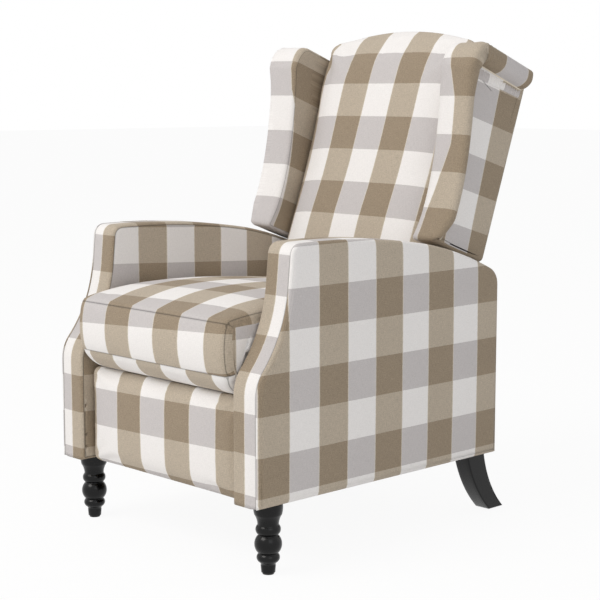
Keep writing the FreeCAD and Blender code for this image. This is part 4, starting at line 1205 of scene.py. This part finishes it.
@dataclass
class RearPanel:
    """The upholstered panel that closes the base at the rear."""

    low_count: int = 60
    side_count: int = 36
    corner: float = 4.0
    edge: float = 5.0
    bulge: float = 3.0
    stripe_x: float = -38.5
    row_z: float = 543.6

    def make(self, finishes: Finishes) -> bpy.types.Object:
        """Builds and dresses the panel.

        Args:
            finishes: The materials.

        Returns:
            The panel.
        """
        low, high = node_range("rear_panel")
        ring = ring_of(rounded_rectangle((low[0], low[2]), (high[0], high[2]), self.corner), self.low_count,
                       self.side_count)
        across, inset = rounded_rim(low[1], high[1], self.edge, 4)
        slab = RimmedSlab(ring, self.low_count, self.side_count, across, inset, FRONT_PLANE,
                          high_swell=self.bulge, swell_power=0.3)

        def face_cells(flat: Array, _: bool) -> Array:
            """Cells of the panel, in line with the arms' rows."""
            return cells_of(flat[..., 0] - self.stripe_x, self.row_z - flat[..., 1] + CHECK)

        item = sewn("upholstered_rear_panel", slab.patches(face_cells, lambda *_: None, 0, len(across) - 1))
        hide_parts("rear_panel")
        dress(item, finishes.cloth, "base")
        return item


@dataclass
class FrontLeg:
    """A turned leg: foot, cove, bead, bulb, ring and flared collar.

    Each step of the turning is its end's radius and height, the radius that it bends with, outwards if
    positive, inwards if negative and straight if 0, and how many points it has.
    """

    side: Side
    start: Pair = (0.5, 3.0)
    steps: tuple[tuple[Pair, float, int], ...] = (
        ((12.6, 3.0), 0, 1), ((13.5, 4.0), 1.0, 5), ((14.5, 17.0), 0, 1), ((14.0, 18.0), 0, 1),
        ((19.0, 24.6), -9.0, 10), ((19.5, 25.4), 0, 1), ((19.5, 39.0), 9.7, 18), ((18.4, 40.2), 0, 1),
        ((18.6, 76.2), 24.4, 30), ((19.5, 77.2), 0, 1), ((20.6, 95.4), 12.2, 18), ((20.4, 97.0), 0, 1),
        ((25.6, 114.6), -40.0, 12), ((26.6, 116.0), 0, 1), ((28.0, 138.0), 60.0, 12))

    def profile(self) -> Array:
        """Radius and height of the turning, from the foot up.

        Returns:
            Its points.
        """
        line = Outline(self.start)
        for end, radius, count in self.steps:
            if radius:
                line.bend(end, abs(radius), Turn.ANTICLOCKWISE if radius > 0 else Turn.CLOCKWISE, count)
            else:
                line.run(end)
        return line.points

    def make(self, finishes: Finishes) -> bpy.types.Object:
        """Builds and dresses the leg.

        Args:
            finishes: The materials.

        Returns:
            The leg.
        """
        node = f"front_leg_{self.side.label}"
        low, high = node_range(node)
        centre = (low + high) / 2
        profile = self.profile()
        profile[:, 1] *= high[2] / profile[-1, 1]
        item = turned(f"turned_leg_{self.side.label}", profile, (centre[0], centre[1]))
        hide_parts(node)
        dress(item, finishes.lacquer, "base")
        return item


@dataclass
class RearLeg:
    """A sabre leg that sweeps to the rear, with softened edges."""

    side: Side
    low_count: int = 14
    side_count: int = 40
    foot_run: float = 46.0
    sweep: float = 68.0
    rear_radius: float = 240.0
    front_radius: float = 270.0
    edge: float = 2.4

    def make(self, finishes: Finishes) -> bpy.types.Object:
        """Builds and dresses the leg.

        Args:
            finishes: The materials.

        Returns:
            The leg.
        """
        node = f"rear_leg_{self.side.label}"
        low, high = node_range(node)
        front, rear, foot, top = low[1], high[1], low[2], high[2]
        edges = [
            Outline((rear - self.foot_run, foot)).run((rear, foot)),
            Outline((rear, foot)).bend((rear - self.sweep, top), self.rear_radius, Turn.CLOCKWISE),
            Outline((rear - self.sweep, top)).run((front, top)),
            Outline((front, top)).bend((rear - self.foot_run, foot), self.front_radius, Turn.ANTICLOCKWISE),
        ]
        ring = ring_of(edges, self.low_count, self.side_count)
        across, inset = rounded_rim(low[0], high[0], self.edge, 4)
        slab = RimmedSlab(ring, self.low_count, self.side_count, across, inset, SIDE_PLANE)

        def no_cells(flat: Array, *_: object) -> Array:
            """No check: every corner is at cell 0."""
            return flat * 0.0

        item = sewn(f"sabre_leg_{self.side.label}", slab.patches(no_cells, no_cells, len(across) - 1, 0))
        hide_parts(node)
        dress(item, finishes.lacquer, "base")
        return item


@dataclass
class Footrest:
    """The padded front panel that swings out as a footrest."""

    low_count: int = 72
    side_count: int = 34
    stripe_x: float = -215.0
    row_z: float = 301.0
    corner: float = 12.0
    edge: float = 13.0
    crown: float = 5.0
    held_rings: int = 4
    filling: Filling = field(default_factory=lambda: Filling(1.6, 5.0, fill=0.8))

    def make(self, finishes: Finishes, stuffing: Stuffing) -> bpy.types.Object:
        """Builds and dresses the pad.

        Args:
            finishes: The materials.
            stuffing: The simulation that fills it.

        Returns:
            The pad.
        """
        low, high = node_range("footrest_pad")
        front, rear = low[1] + self.crown, high[1]
        ring = ring_of(rounded_rectangle((low[0], low[2]), (high[0], high[2]), self.corner), self.low_count,
                       self.side_count)
        across, inset = rounded_front(front, rear, self.edge, 3)
        slab = RimmedSlab(ring, self.low_count, self.side_count, across, inset, FRONT_PLANE, low_swell=3.0,
                          swell_power=0.4)

        def face_cells(flat: Array, _: bool) -> Array:
            """Cells of the pad, its rows a little out of level."""
            x, z = flat[..., 0], flat[..., 1]
            return cells_of(x - self.stripe_x, self.row_z + 0.032 * x - z + CHECK)

        held = np.zeros((len(across), len(ring)))
        held[-self.held_rings :] = 1.0
        patches = slab.patches(face_cells, lambda *_: None, len(across) - 1, 0, rim_held=held)
        patches[1].held[:] = 1.0
        item = sewn("footrest_padding", patches)
        stuffing.add(item, self.filling)
        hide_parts("footrest_pad")
        dress(item, finishes.cloth, "footrest")
        return item


@dataclass
class CrownedCushion(RimmedSlab):
    """A slab across the seat whose top rises in a crown and whose front corners draw back.

    Lift and back say how much of the crown and of the drawing back a place across has: its share of the half
    width, and the part there.
    """

    crown: float = 30.0
    drawn_back: float = 11.0
    lip_taper: float = 0.06
    lift: tuple[Pair, ...] = ((0, 1.0), (0.5, 0.95), (0.88, 0.8), (0.95, 0.68), (0.985, 0.45), (1.0, 0.15))
    back: tuple[Pair, ...] = ((0.8, 0.0), (0.88, 0.04), (0.95, 0.16), (0.985, 0.45), (1.0, 0.8))
    front_slack: float = 8.0
    top_band: Pair = (440.0, 476.0)
    front_band: Pair = (-300.0, -424.0)
    lip_height: Pair = (378.0, 340.0)
    lip_depth: Pair = (-375.0, -385.0)

    def rings(self) -> Array:
        """The rings with the crown added: a half wave from front to rear, times a share by place across.

        Returns:
            The rings.
        """
        rings = super().rings()
        half = np.abs(self.across).max()
        share = np.abs(rings[..., 2]) / half
        y, z = rings[..., 0], rings[..., 1]
        front, rear = self.ring[:, 0].min(), self.ring[:, 0].max()
        way = np.clip((y - front - self.front_slack) / (rear - front - self.front_slack), 0, 1)
        crown = self.crown * np.interp(share, *np.transpose(self.lift)) * np.sin(np.pi * way**0.66)
        rings[..., 1] += crown * ramp(z, self.top_band)
        rings[..., 0] += self.drawn_back * np.interp(share, *np.transpose(self.back)) * ramp(y, self.front_band)
        rings[..., 2] *= 1 - self.lip_taper * ramp(z, self.lip_height) * ramp(y, self.lip_depth)
        return rings


@dataclass
class SeatCushion:
    """The seat: a crowned cushion with a boxed front and a lip that tucks under."""

    low_count: int = 96
    side_count: int = 24
    boxing_count: int = 16
    half: float = 232.0
    edge: float = 12.0
    stripe_x: float = -210.0
    row_z: float = 447.0
    row_rise: float = 31.0
    lip_stripe_x: float = -199.0
    lip_foot: Pair = (-385.0, 338.0)
    ledge: Pair = (-370.0, 397.4)
    rear_foot: Pair = (66.0, 397.4)
    rear_top: Pair = (98.0, 480.0)
    top_seam: Pair = (-426.0, 477.0)
    lower_seam: Pair = (-425.0, 378.0)
    filling: Filling = field(default_factory=lambda: Filling(3.2, 13.0, fill=0.75))

    def outline(self) -> Array:
        """The side outline: stepped underside, rear, top, boxed front with two seams, and lip.

        Returns:
            The ring of the outline in depth and height.
        """
        bottom = (Outline(self.lip_foot).run((self.ledge[0], self.lip_foot[1]))
                  .run(self.ledge).run(self.rear_foot))
        rear = Outline(self.rear_foot).run(self.rear_top)
        top = Outline(self.rear_top).run((92, 484)).run((-421, 481)).run(self.top_seam)
        boxing = Outline(self.top_seam).run((-430, 470)).sweep((-435, 428), (-430, 386)).run(self.lower_seam)
        lip = Outline(self.lower_seam).run((-424, 371)).sweep((-409, 351), self.lip_foot)
        lip_count = self.side_count - self.boxing_count
        parts = [(bottom, self.low_count), (rear, self.side_count), (top, self.low_count),
                 (boxing, self.boxing_count), (lip, lip_count)]
        return np.vstack([edge.spread(count)[:-1] for edge, count in parts])

    def make(self, finishes: Finishes, stuffing: Stuffing) -> bpy.types.Object:
        """Builds and dresses the cushion.

        Args:
            finishes: The materials.
            stuffing: The simulation that fills it.

        Returns:
            The cushion.
        """
        angle = np.linspace(0, np.pi / 2, 6)
        radius = self.edge
        ends = self.half - radius * (1 - np.cos(angle))
        across = np.concatenate([-ends, np.linspace(-(self.half - radius), self.half - radius, 52)[1:-1],
                                 ends[::-1]])
        inset = np.concatenate([radius * (1 - np.sin(angle)), np.zeros(50), radius * (1 - np.sin(angle[::-1]))])
        ring = self.outline()
        slab = CrownedCushion(ring, self.low_count, self.side_count, across, inset, SIDE_PLANE, low_swell=2.0,
                              high_swell=2.0)
        corners = (self.low_count, self.low_count + self.side_count, 2 * self.low_count + self.side_count)
        seam = corners[2] + self.boxing_count
        around = slab.around

        def band_cells(distance: Array, spots: Array, number: int) -> Array:
            """Cells of the top, the boxing and the lip, their rows counted from the top seam.

            Args:
                distance: Distance round the ring.
                spots: Points, with their distance over the rim.
                number: Which band it is.

            Returns:
                Cells of its corners.
            """
            x = spots[..., 2]
            rise = around[corners[2]] - distance
            if number == 4:
                return cells_of(x - self.lip_stripe_x + CHECK, 70 - (distance - around[seam]))
            return cells_of(x - self.stripe_x, CHECK + self.row_rise - 0.055 * x + rise)

        def face_cells(flat: Array, high: bool) -> Array:
            """Cells of the two sides, their stripes counted from the front corner."""
            x = self.half if high else -self.half
            return cells_of(x - self.stripe_x + (flat[..., 0] + 424) * (1 if high else -1),
                            flat[..., 1] - self.row_z + CHECK)

        held = np.zeros((len(across), len(ring)))
        held[:, : corners[1] - 4] = 1.0
        held[:, seam:] = 0.7
        for number in (corners[2], seam):
            held[:, number - 1 : number + 2] = 0.85
        held[:4] = 1.0
        held[-4:] = 1.0
        patches = slab.patches(face_cells, band_cells, 0, 0, 1.0, held, (*corners, seam), (3, len(across) - 4),
                               (corners[2], seam))
        item = sewn("seat_padding", patches)
        stuffing.add(item, self.filling)
        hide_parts("seat_cushion")
        dress(item, finishes.cloth, "seat")
        return item


@dataclass
class BackPadding(RimmedSlab):
    """A slab for the back whose front stands out at the small of the back and at the head."""

    head_rise: float = 16.0

    def rings(self) -> Array:
        """The rings, with the front ones brought forward at the head by a bell curve of the height.

        Returns:
            The rings.
        """
        rings = super().rings()
        rear = self.across.max()
        share = (rear - self.across) / (rear - self.across.min())
        rings[..., 2] -= self.head_rise * share * np.exp(-(((rings[..., 1] - 500) / 130) ** 2))
        return rings

    def face(self, high: bool) -> Array:
        """The grid of one face; the front has a rise and a dip, each a bell curve of the height.

        Args:
            high: Whether it is the rear face.

        Returns:
            Points of the grid.
        """
        grid = super().face(high)
        if not high:
            bulge = swell(self.low_count, self.side_count, 0.6)
            height = grid[..., 1]
            rise = 6.0 * np.exp(-(((height - 165) / 75) ** 2)) - 5.0 * np.exp(-(((height - 500) / 90) ** 2))
            grid[..., 2] -= rise * bulge
        return grid


@dataclass
class Back:
    """The back: a crowned front cushion and a plain cover behind it, both arched at the top."""

    low_count: int = 64
    side_count: int = 80
    stripe_x: float = -198.5
    row: float = 558.0
    row_height: float = 75.4
    corner: float = 14.0
    top_corner: float = 23.0
    cushion: tuple[float, float, float, float] = (214.0, -58.0, 588.0, 617.0)
    cushion_depth: Pair = (-2.0, 42.7)
    cushion_edge: float = 14.0
    cover: tuple[float, float, float, float] = (224.0, -44.0, 583.0, 611.0)
    cover_depth: Pair = (43.3, 124.0)
    cover_edge: float = 9.0
    side_stripe: float = 84.0
    seam_depth: float = 1.3
    rim_steps: int = 6
    filling: Filling = field(default_factory=lambda: Filling(2.6, 12.0, fill=0.75))

    def outline(self, half: float, foot: float, edge: float, peak: float) -> Array:
        """A tall panel with round corners and an arched top.

        Args:
            half: Half its width.
            foot: Height of its foot.
            edge: Height of the arch's ends.
            peak: Height of the arch's middle.

        Returns:
            The ring of the outline in width and height.
        """
        turn, corner = Turn.ANTICLOCKWISE, self.corner
        return ring_of([
            Outline((-half, foot + corner)).bend((-half + corner, foot), corner, turn, 6)
            .run((half - corner, foot)).bend((half, foot + corner), corner, turn, 6),
            Outline((half, foot + corner)).run((half, edge - 20)),
            Outline((half, edge - 20)).bend((half - 21, edge + 3), self.top_corner, turn, 10)
            .sweep((0, peak), (-half + 21, edge + 3)).bend((-half, edge - 20), self.top_corner, turn, 10),
            Outline((-half, edge - 20)).run((-half, foot + corner)),
        ], self.low_count, self.side_count)

    def face_cells(self, flat: Array, _: bool) -> Array:
        """Cells over the whole back; the stripes drift a little with height."""
        x, height = flat[..., 0], flat[..., 1]
        stripes = (x - self.stripe_x - 0.02 * (height - 350)) / CHECK
        return np.stack([stripes, (self.row - height) / self.row_height + 1], -1)

    def make(self, finishes: Finishes, stuffing: Stuffing) -> list[bpy.types.Object]:
        """Builds and dresses the cushion and the cover.

        Args:
            finishes: The materials.
            stuffing: The simulation that fills the cushion.

        Returns:
            The cushion and the cover.
        """
        across, inset = rounded_front(*self.cushion_depth, self.cushion_edge, 4)
        slab = BackPadding(self.outline(*self.cushion), self.low_count, self.side_count, across, inset,
                           BACK_FACE_PLANE, low_swell=9.0, swell_power=0.5)
        held = np.zeros((len(across), len(slab.ring)))
        held[-5:] = 1.0
        patches = slab.patches(self.face_cells, lambda *_: None, len(across) - 1, 0, rim_held=held)
        patches[1].held[:] = 1.0
        cushion = sewn("back_padding", patches)
        stuffing.add(cushion, self.filling)
        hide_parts("back_cushion")
        dress(cushion, finishes.cloth, "back")

        across, inset = rounded_rim(*self.cover_depth, self.cover_edge, self.rim_steps, 5)
        slab = RimmedSlab(self.outline(*self.cover), self.low_count, self.side_count, across, inset,
                          BACK_FACE_PLANE, high_swell=3.0, swell_power=0.3)
        seam = len(across) - self.rim_steps - 1
        slab.inset[seam] += self.seam_depth

        def band_cells(_: Array, spots: Array, __: int) -> Array:
            """Cells of the cover's sides, one stripe boundary along their middle."""
            rows = (self.row - spots[..., 1]) / self.row_height + 1
            return np.stack([(spots[..., 2] - self.side_stripe) / CHECK + 1, rows], -1)

        patches = slab.patches(self.face_cells, band_cells, 1, self.rim_steps, seams=(1, seam))
        cover = sewn("back_upholstery", patches)
        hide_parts("back_cover")
        dress(cover, finishes.cloth, "back")
        return [cushion, cover]


@dataclass
class Wing:
    """A wing: a flat inner face, a soft roll along its front and top, and a flat outer panel set in.

    A section is a list of distances across and insets. A stripe edge gives how far over the rim the boundary
    between two stripes lies, by height.
    """

    side: Side
    low_count: int = 56
    side_count: int = 96
    ring_count: int = 30
    top_roll: tuple[Pair, ...] = ((219, 9), (222, 4), (231, 1), (253, 0), (280, 0), (296, 0), (308, 3),
                                  (312, 14), (311, 28), (300, 40), (287, 44), (279, 47), (278, 49))
    front_roll: tuple[Pair, ...] = ((219, 9), (222, 4), (231, 1), (250, 0), (270, 0), (284, 0.5), (296, 3),
                                    (303, 10), (303, 18), (297, 24), (287, 26), (279, 28), (278, 31))
    plain: tuple[Pair, ...] = ((219, 5), (221, 2), (226, 0.5), (240, 0), (260, 0), (270, 0.5), (276, 2.5),
                               (278, 6), (278, 8), (278, 10), (278, 12))
    stripe_edge: tuple[Pair, ...] = ((180, 199), (250, 201), (380, 206), (450, 227), (545, 236))
    near_stripe_edge: tuple[Pair, ...] = ((195, 236), (274, 251), (340, 268), (430, 267), (520, 245))
    row: float = 512.0
    rim_start: float = 216.4
    foot_front: Pair = (-46.0, 131.0)
    foot_rear: Pair = (106.0, 131.0)
    rear_foot: Pair = (120.0, 145.0)
    rear_top: Pair = (120.0, 537.0)
    top_rear: Pair = (102.0, 555.0)
    top_front: Pair = (-66.0, 556.0)
    ear: Pair = (-98.0, 496.0)
    front_foot: Pair = (-54.0, 141.0)
    front_fade: Pair = (126.0, 186.0)
    rear_fade: Pair = (113.0, 96.0)
    turning: Pair = (420.0, 530.0)
    fold: float = 2.4
    fold_pitch: float = 12.5
    piping_radius: float = 1.7
    pleat_run: Pair = (-60.0, 102.0)
    pleat_section: tuple[Pair, ...] = ((487, 0), (489, 1), (494, 1.5), (500, 1.5), (506, 1.2), (511, 0))
    pleat_pitch: float = 8.5
    pleat_depth: float = 1.6
    pleat_x: float = 278.6
    pleat_climb: float = 9.0

    def outline(self) -> Array:
        """The side outline in the back's depth and height, with its front swept in below the ear.

        Returns:
            The ring of the outline.
        """
        edges = [
            Outline(self.foot_front).run(self.foot_rear),
            Outline(self.foot_rear).sweep((116, 135), self.rear_foot).run(self.rear_top),
            Outline(self.rear_top).sweep((115, 550), self.top_rear).run(self.top_front),
            Outline(self.top_front).sweep((-90, 538), self.ear).sweep((-50, 291), self.front_foot)
            .sweep((-52, 134), self.foot_front),
        ]
        return ring_of(edges, self.low_count, self.side_count)

    def shape(self) -> RimmedSlab:
        """The slab whose rim blends from the roll's section to the plain one, with gathers at the ear.

        The blend is 1 along the front and the top and falls to 0 as a root at the front's lower end and at the
        top's rear end. The front's section turns into the top's as a smooth step of the height. The gathers
        are a sine of the distance round, within a bell curve at the corner.

        Returns:
            The slab.
        """
        ring = self.outline()
        low, side = self.low_count, self.side_count
        depth, height = ring[:, 0], ring[:, 1]
        blend = np.sqrt(ramp(height, self.front_fade))
        blend[:low] = 0.15 * np.clip(-depth[:low] / 46, 0, 1)
        blend[low : low + side] = 0.0
        top = slice(low + side, 2 * low + side)
        blend[top] = np.sqrt(ramp(depth[top], self.rear_fade))
        blend = (np.roll(blend, 1) + 2 * blend + np.roll(blend, -1)) / 4
        above = ramp(height, self.turning)
        above = (above**2 * (3 - 2 * above))[None, :, None]
        front = smoothed(self.front_roll, self.ring_count)[:, None]
        over = smoothed(self.top_roll, self.ring_count)[:, None]
        plain = smoothed(self.plain, self.ring_count)[:, None]
        share = blend[None, :, None]
        section = plain * (1 - share) + (front * (1 - above) + over * above) * share
        slab = RimmedSlab(ring, low, side, section[..., 0], section[..., 1], BACK_SIDE_PLANE)
        corner = slab.around[2 * low + side] + 22
        near = np.exp(-(((slab.around[:-1] - corner) / 42) ** 2))
        outside = np.sin(np.pi * np.clip(np.linspace(-0.7, 1, self.ring_count + 1), 0, 1))
        folds = self.fold * np.sin(2 * np.pi * slab.around[:-1] / self.fold_pitch) * near
        slab.inset += outside[:, None] * folds
        slab.across += outside[:, None] * folds * 0.6
        return slab

    def panel_cells(self, flat: Array) -> Array:
        """Cells of the outer panel."""
        depth, height = flat[..., 0], flat[..., 1]
        across = depth + 38 - 0.065 * (485 - height) + 2 * CHECK
        return np.stack([across / CHECK, (409 + 0.067 * (depth + 34) - height) / 75.5 + 2], -1)

    def make(self, finishes: Finishes) -> list[bpy.types.Object]:
        """Builds and dresses the wing, its piping and the pleated strip under its top roll.

        Args:
            finishes: The materials.

        Returns:
            Wing, piping and pleats.
        """
        slab = self.shape()
        ring = slab.ring
        low, side = self.low_count, self.side_count
        closed = np.vstack([ring, ring[:1]])
        near = self.side is Side.RIGHT
        heights, edges = np.array(self.near_stripe_edge if near else self.stripe_edge, float).T
        left = closed[2 * low + side :][::-1]

        def stripe(over: Array, height: Array) -> Array:
            """Distance over the rim from the stripe's edge, held within one stripe each way."""
            reach = over - np.interp(height, heights, edges)
            return np.clip(reach, -0.96 * CHECK, 0.96 * CHECK) + (CHECK if near else 0.0)

        def face_cells(flat: Array, high: bool) -> Array:
            """Cells of the outer panel, and of the inner face as it runs on from the roll.

            Args:
                flat: Points in depth and height.
                high: Whether it is the outer panel.

            Returns:
                Cells of its corners.
            """
            if high:
                return self.panel_cells(flat)
            height = flat[..., 1]
            inner = self.rim_start - (flat[..., 0] - np.interp(height, left[:, 1], left[:, 0]))
            return np.stack([stripe(inner, height) / CHECK, (self.row - height) / CHECK + 1], -1)

        def band_cells(around: Array, spots: Array, number: int) -> Array:
            """Cells of the rolls.

            Args:
                around: Distance round the ring.
                spots: Points, with their distance over the rim.
                number: Which band it is; 2 is the top.

            Returns:
                Cells of its corners.
            """
            over = spots[..., 3] + self.rim_start
            height = np.interp(around, slab.around, closed[:, 1])
            depth = np.interp(around, slab.around, closed[:, 0])
            if number == 2 and near:
                return np.stack([(depth + 77) / CHECK + 1, (over - 300) / CHECK + 1], -1)
            if number == 2:
                return np.stack([stripe(over, height) / CHECK, 0.44 - (depth + 61) / CHECK], -1)
            return np.stack([stripe(over, height) / CHECK, (self.row - height) / CHECK + 1], -1)

        breaks = (low, low + side, 2 * low + side)
        patches = slab.patches(face_cells, band_cells, 0, 2, breaks=breaks, seams=(0,))
        name = self.side.label
        wing = sewn(f"padded_wing_{name}", mirrored(patches, self.side))
        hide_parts(f"wing_pad_{name}")
        dress(wing, finishes.cloth, "back")

        rings = slab.rings()[self.ring_count - 2]
        seam = rings[low + side + 4 : 2 * (low + side) - 2]
        path = BACK_SIDE_PLANE.place(seam + [0, 0, 0.8]) * [self.side.value, 1, 1]
        piping = tube(f"wing_piping_{name}", path, self.piping_radius)
        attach(piping, "back")
        dress(piping, finishes.piping, "back")
        return [wing, piping, self.pleats(finishes)]

    def pleats(self, finishes: Finishes) -> bpy.types.Object:
        """The strip of pleats that shows under the top roll; its surface is a wave along its length.

        Args:
            finishes: The materials.

        Returns:
            The strip.
        """
        first, last = self.pleat_run
        along = np.linspace(first, last, 220)
        level, rise = np.transpose(self.pleat_section)
        wave = np.abs(np.sin(np.pi * along / self.pleat_pitch + 0.5 * np.sin(along / 13))) * self.pleat_depth
        x = self.pleat_x + rise[:, None] * (0.8 + wave[None, :])
        level = level[:, None] + self.pleat_climb * (along - first) / (last - first)
        flat = np.stack(np.broadcast_arrays(along[None, :], level, x), -1)
        back = flat.copy()
        back[..., 2] = self.pleat_x - 1.0
        stripes, rows = np.full_like(x, 2.5), np.broadcast_to((along - first) / 54 + 1, x.shape)
        cells = np.stack([stripes, rows], -1)
        held = np.zeros(flat.shape[:2])
        place = BACK_SIDE_PLANE.place
        patches = [Patch(place(flat), cells, held), Patch(place(back), cells, held)]
        for rows, columns in ((slice(0, 1), slice(None)), (slice(-1, None), slice(None)),
                              (slice(None), slice(0, 1)), (slice(None), slice(-1, None))):
            front_edge, back_edge = flat[rows, columns].reshape(-1, 3), back[rows, columns].reshape(-1, 3)
            edge_cells = cells[rows, columns].reshape(-1, 2)
            patches.append(Patch(place(np.stack([front_edge, back_edge])), np.stack([edge_cells, edge_cells]),
                                 np.zeros((2, len(front_edge)))))
        item = sewn(f"wing_pleats_{self.side.label}", mirrored(patches, self.side))
        dress(item, finishes.cloth, "back")
        return item


@dataclass(frozen=True)
class Hardware:
    """Which finish each part of the frame and mechanism has, by how its name starts."""

    timber: tuple[str, ...] = ("arm_front_post", "arm_rear_post", "front_cross_rail", "rear_cross_rail",
                               "seat_side", "seat_front", "seat_rear", "back_stile", "back_top", "back_bottom")
    plywood: tuple[str, ...] = ("arm_panel", "footrest_board", "wing_board")
    bolt: tuple[str, ...] = ("leg_bolts", "base_screws")
    spring: tuple[str, ...] = ("seat_springs",)
    nylon: tuple[str, ...] = ("leg_glides", "spring_clips")
    strap: tuple[str, ...] = ("back_webbing",)

    def dress(self, finishes: Finishes, items: list[bpy.types.Object]) -> None:
        """Gives every node that stays its finish; what no group names is pressed steel.

        Args:
            finishes: The materials.
            items: The frame's nodes.
        """
        for item in items:
            groups = ("timber", "plywood", "bolt", "spring", "nylon", "strap")
            kind = next((group for group in groups if item.name.startswith(getattr(self, group))), "steel")
            material = getattr(finishes, kind)
            if not item.material_slots:
                item.data.materials.append(material)
            for slot in item.material_slots:
                slot.material = material
            LOG.info("%s finished as %s", item.name, kind)


@dataclass
class Studio:
    """Floor, light and camera."""

    azimuth: float = 46.336
    elevation: float = 7.651
    place: tuple[float, float, float] = (2.352127, -2.262525, 0.900101)
    lens: float = 92.13
    ambient: float = 0.55
    floor_half: float = 30.0
    floor_white: float = 0.93
    floor_colour: Colour = (0.92, 0.92, 0.92, 1.0)
    white: Colour = (1.0, 1.0, 1.0, 1.0)
    aim: tuple[float, float, float] = (0.0, 0.0, 0.5)

    def make(self) -> None:
        """Builds all three."""
        self.make_floor()
        self.make_light()
        self.make_camera()

    def make_floor(self) -> None:
        """A wide pale floor; what is seen of it is lifted towards white and keeps the shadow."""
        half = self.floor_half
        mesh = bpy.data.meshes.new("floor")
        corners = [(-half, -half, 0), (half, -half, 0), (half, half, 0), (-half, half, 0)]
        mesh.from_pydata(corners, [], [(0, 1, 2, 3)])
        floor = bpy.data.objects.new("floor", mesh)
        bpy.context.scene.collection.objects.link(floor)
        graph = Graph("pale_floor")
        matt = {"Base Color": self.floor_colour, "Roughness": 0.9, "Specular IOR Level": 0.1}
        shade = graph.value("ShaderNodeBsdfPrincipled", None, matt)
        glow = graph.value("ShaderNodeEmission", None, {"Color": self.white})
        share = graph.background() * self.floor_white
        seen = graph.value("ShaderNodeMixShader", None, {0: share, 1: shade, 2: glow})
        graph.node("ShaderNodeOutputMaterial", None, {0: seen})
        mesh.materials.append(graph.holder)

    def make_light(self) -> None:
        """A broad key from the front and left, a weak fill, and an even surround that is seen as white."""
        graph = Graph("surround", world=True)
        strength = graph.background() * (1.0 - self.ambient) + self.ambient
        sky = graph.value("ShaderNodeBackground", None, {"Color": self.white, "Strength": strength})
        graph.node("ShaderNodeOutputWorld", None, {0: sky})
        bpy.context.scene.world = graph.holder
        lamps = (("key", (-0.7, -3.5, 4.2), 2.6, 128.0, (1.0, 0.97, 0.935)),
                 ("fill", (4.0, -1.6, 2.8), 2.4, 20.0, (0.95, 0.97, 1.0)))
        for name, place, size, power, colour in lamps:
            lamp = bpy.data.lights.new(name, "AREA")
            lamp.shape = "SQUARE"
            lamp.size = size
            lamp.energy = power
            lamp.color = colour
            item = bpy.data.objects.new(name, lamp)
            item.location = place
            item.rotation_euler = (Vector(self.aim) - Vector(place)).to_track_quat("-Z", "Y").to_euler()
            bpy.context.scene.collection.objects.link(item)

    def make_camera(self) -> None:
        """The camera at the photograph's place, with its back direction from azimuth and elevation."""
        turn, rise = math.radians(self.azimuth), math.radians(self.elevation)
        behind = Vector((math.sin(turn) * math.cos(rise), -math.cos(turn) * math.cos(rise), math.sin(rise)))
        right = Vector((math.cos(turn), math.sin(turn), 0.0))
        up = behind.cross(right)
        camera = bpy.data.cameras.new("camera")
        camera.lens = self.lens
        camera.sensor_width = 36.0
        item = bpy.data.objects.new("camera", camera)
        basis = Matrix((right, up, behind)).transposed()
        item.location = self.place
        item.rotation_euler = basis.to_euler()
        bpy.context.scene.collection.objects.link(item)
        bpy.context.scene.camera = item


def main() -> None:
    """Builds the chair's visible pieces, dresses the frame, and sets floor, light and camera."""
    logging.basicConfig(level=logging.INFO, format="%(name)s: %(message)s")
    scene = bpy.context.scene
    scene.view_settings.view_transform = "Standard"
    finishes = Finishes()
    hardware = [item for item in scene.objects if item.type == "MESH"]
    Hardware().dress(finishes, hardware)
    stuffing = Stuffing()
    pieces: list[bpy.types.Object] = [RearPanel().make(finishes), Footrest().make(finishes, stuffing),
                                      SeatCushion().make(finishes, stuffing), *Back().make(finishes, stuffing)]
    for side in Side:
        pieces.append(Arm(side).make(finishes))
        pieces.extend(Wing(side).make(finishes))
        pieces.append(FrontLeg(side).make(finishes))
        pieces.append(RearLeg(side).make(finishes))
    stuffing.run()
    for item in pieces:
        LOG.info("%s: %d faces", item.name, len(item.data.polygons))
    Studio().make()


if __name__ == "__main__":
    main()
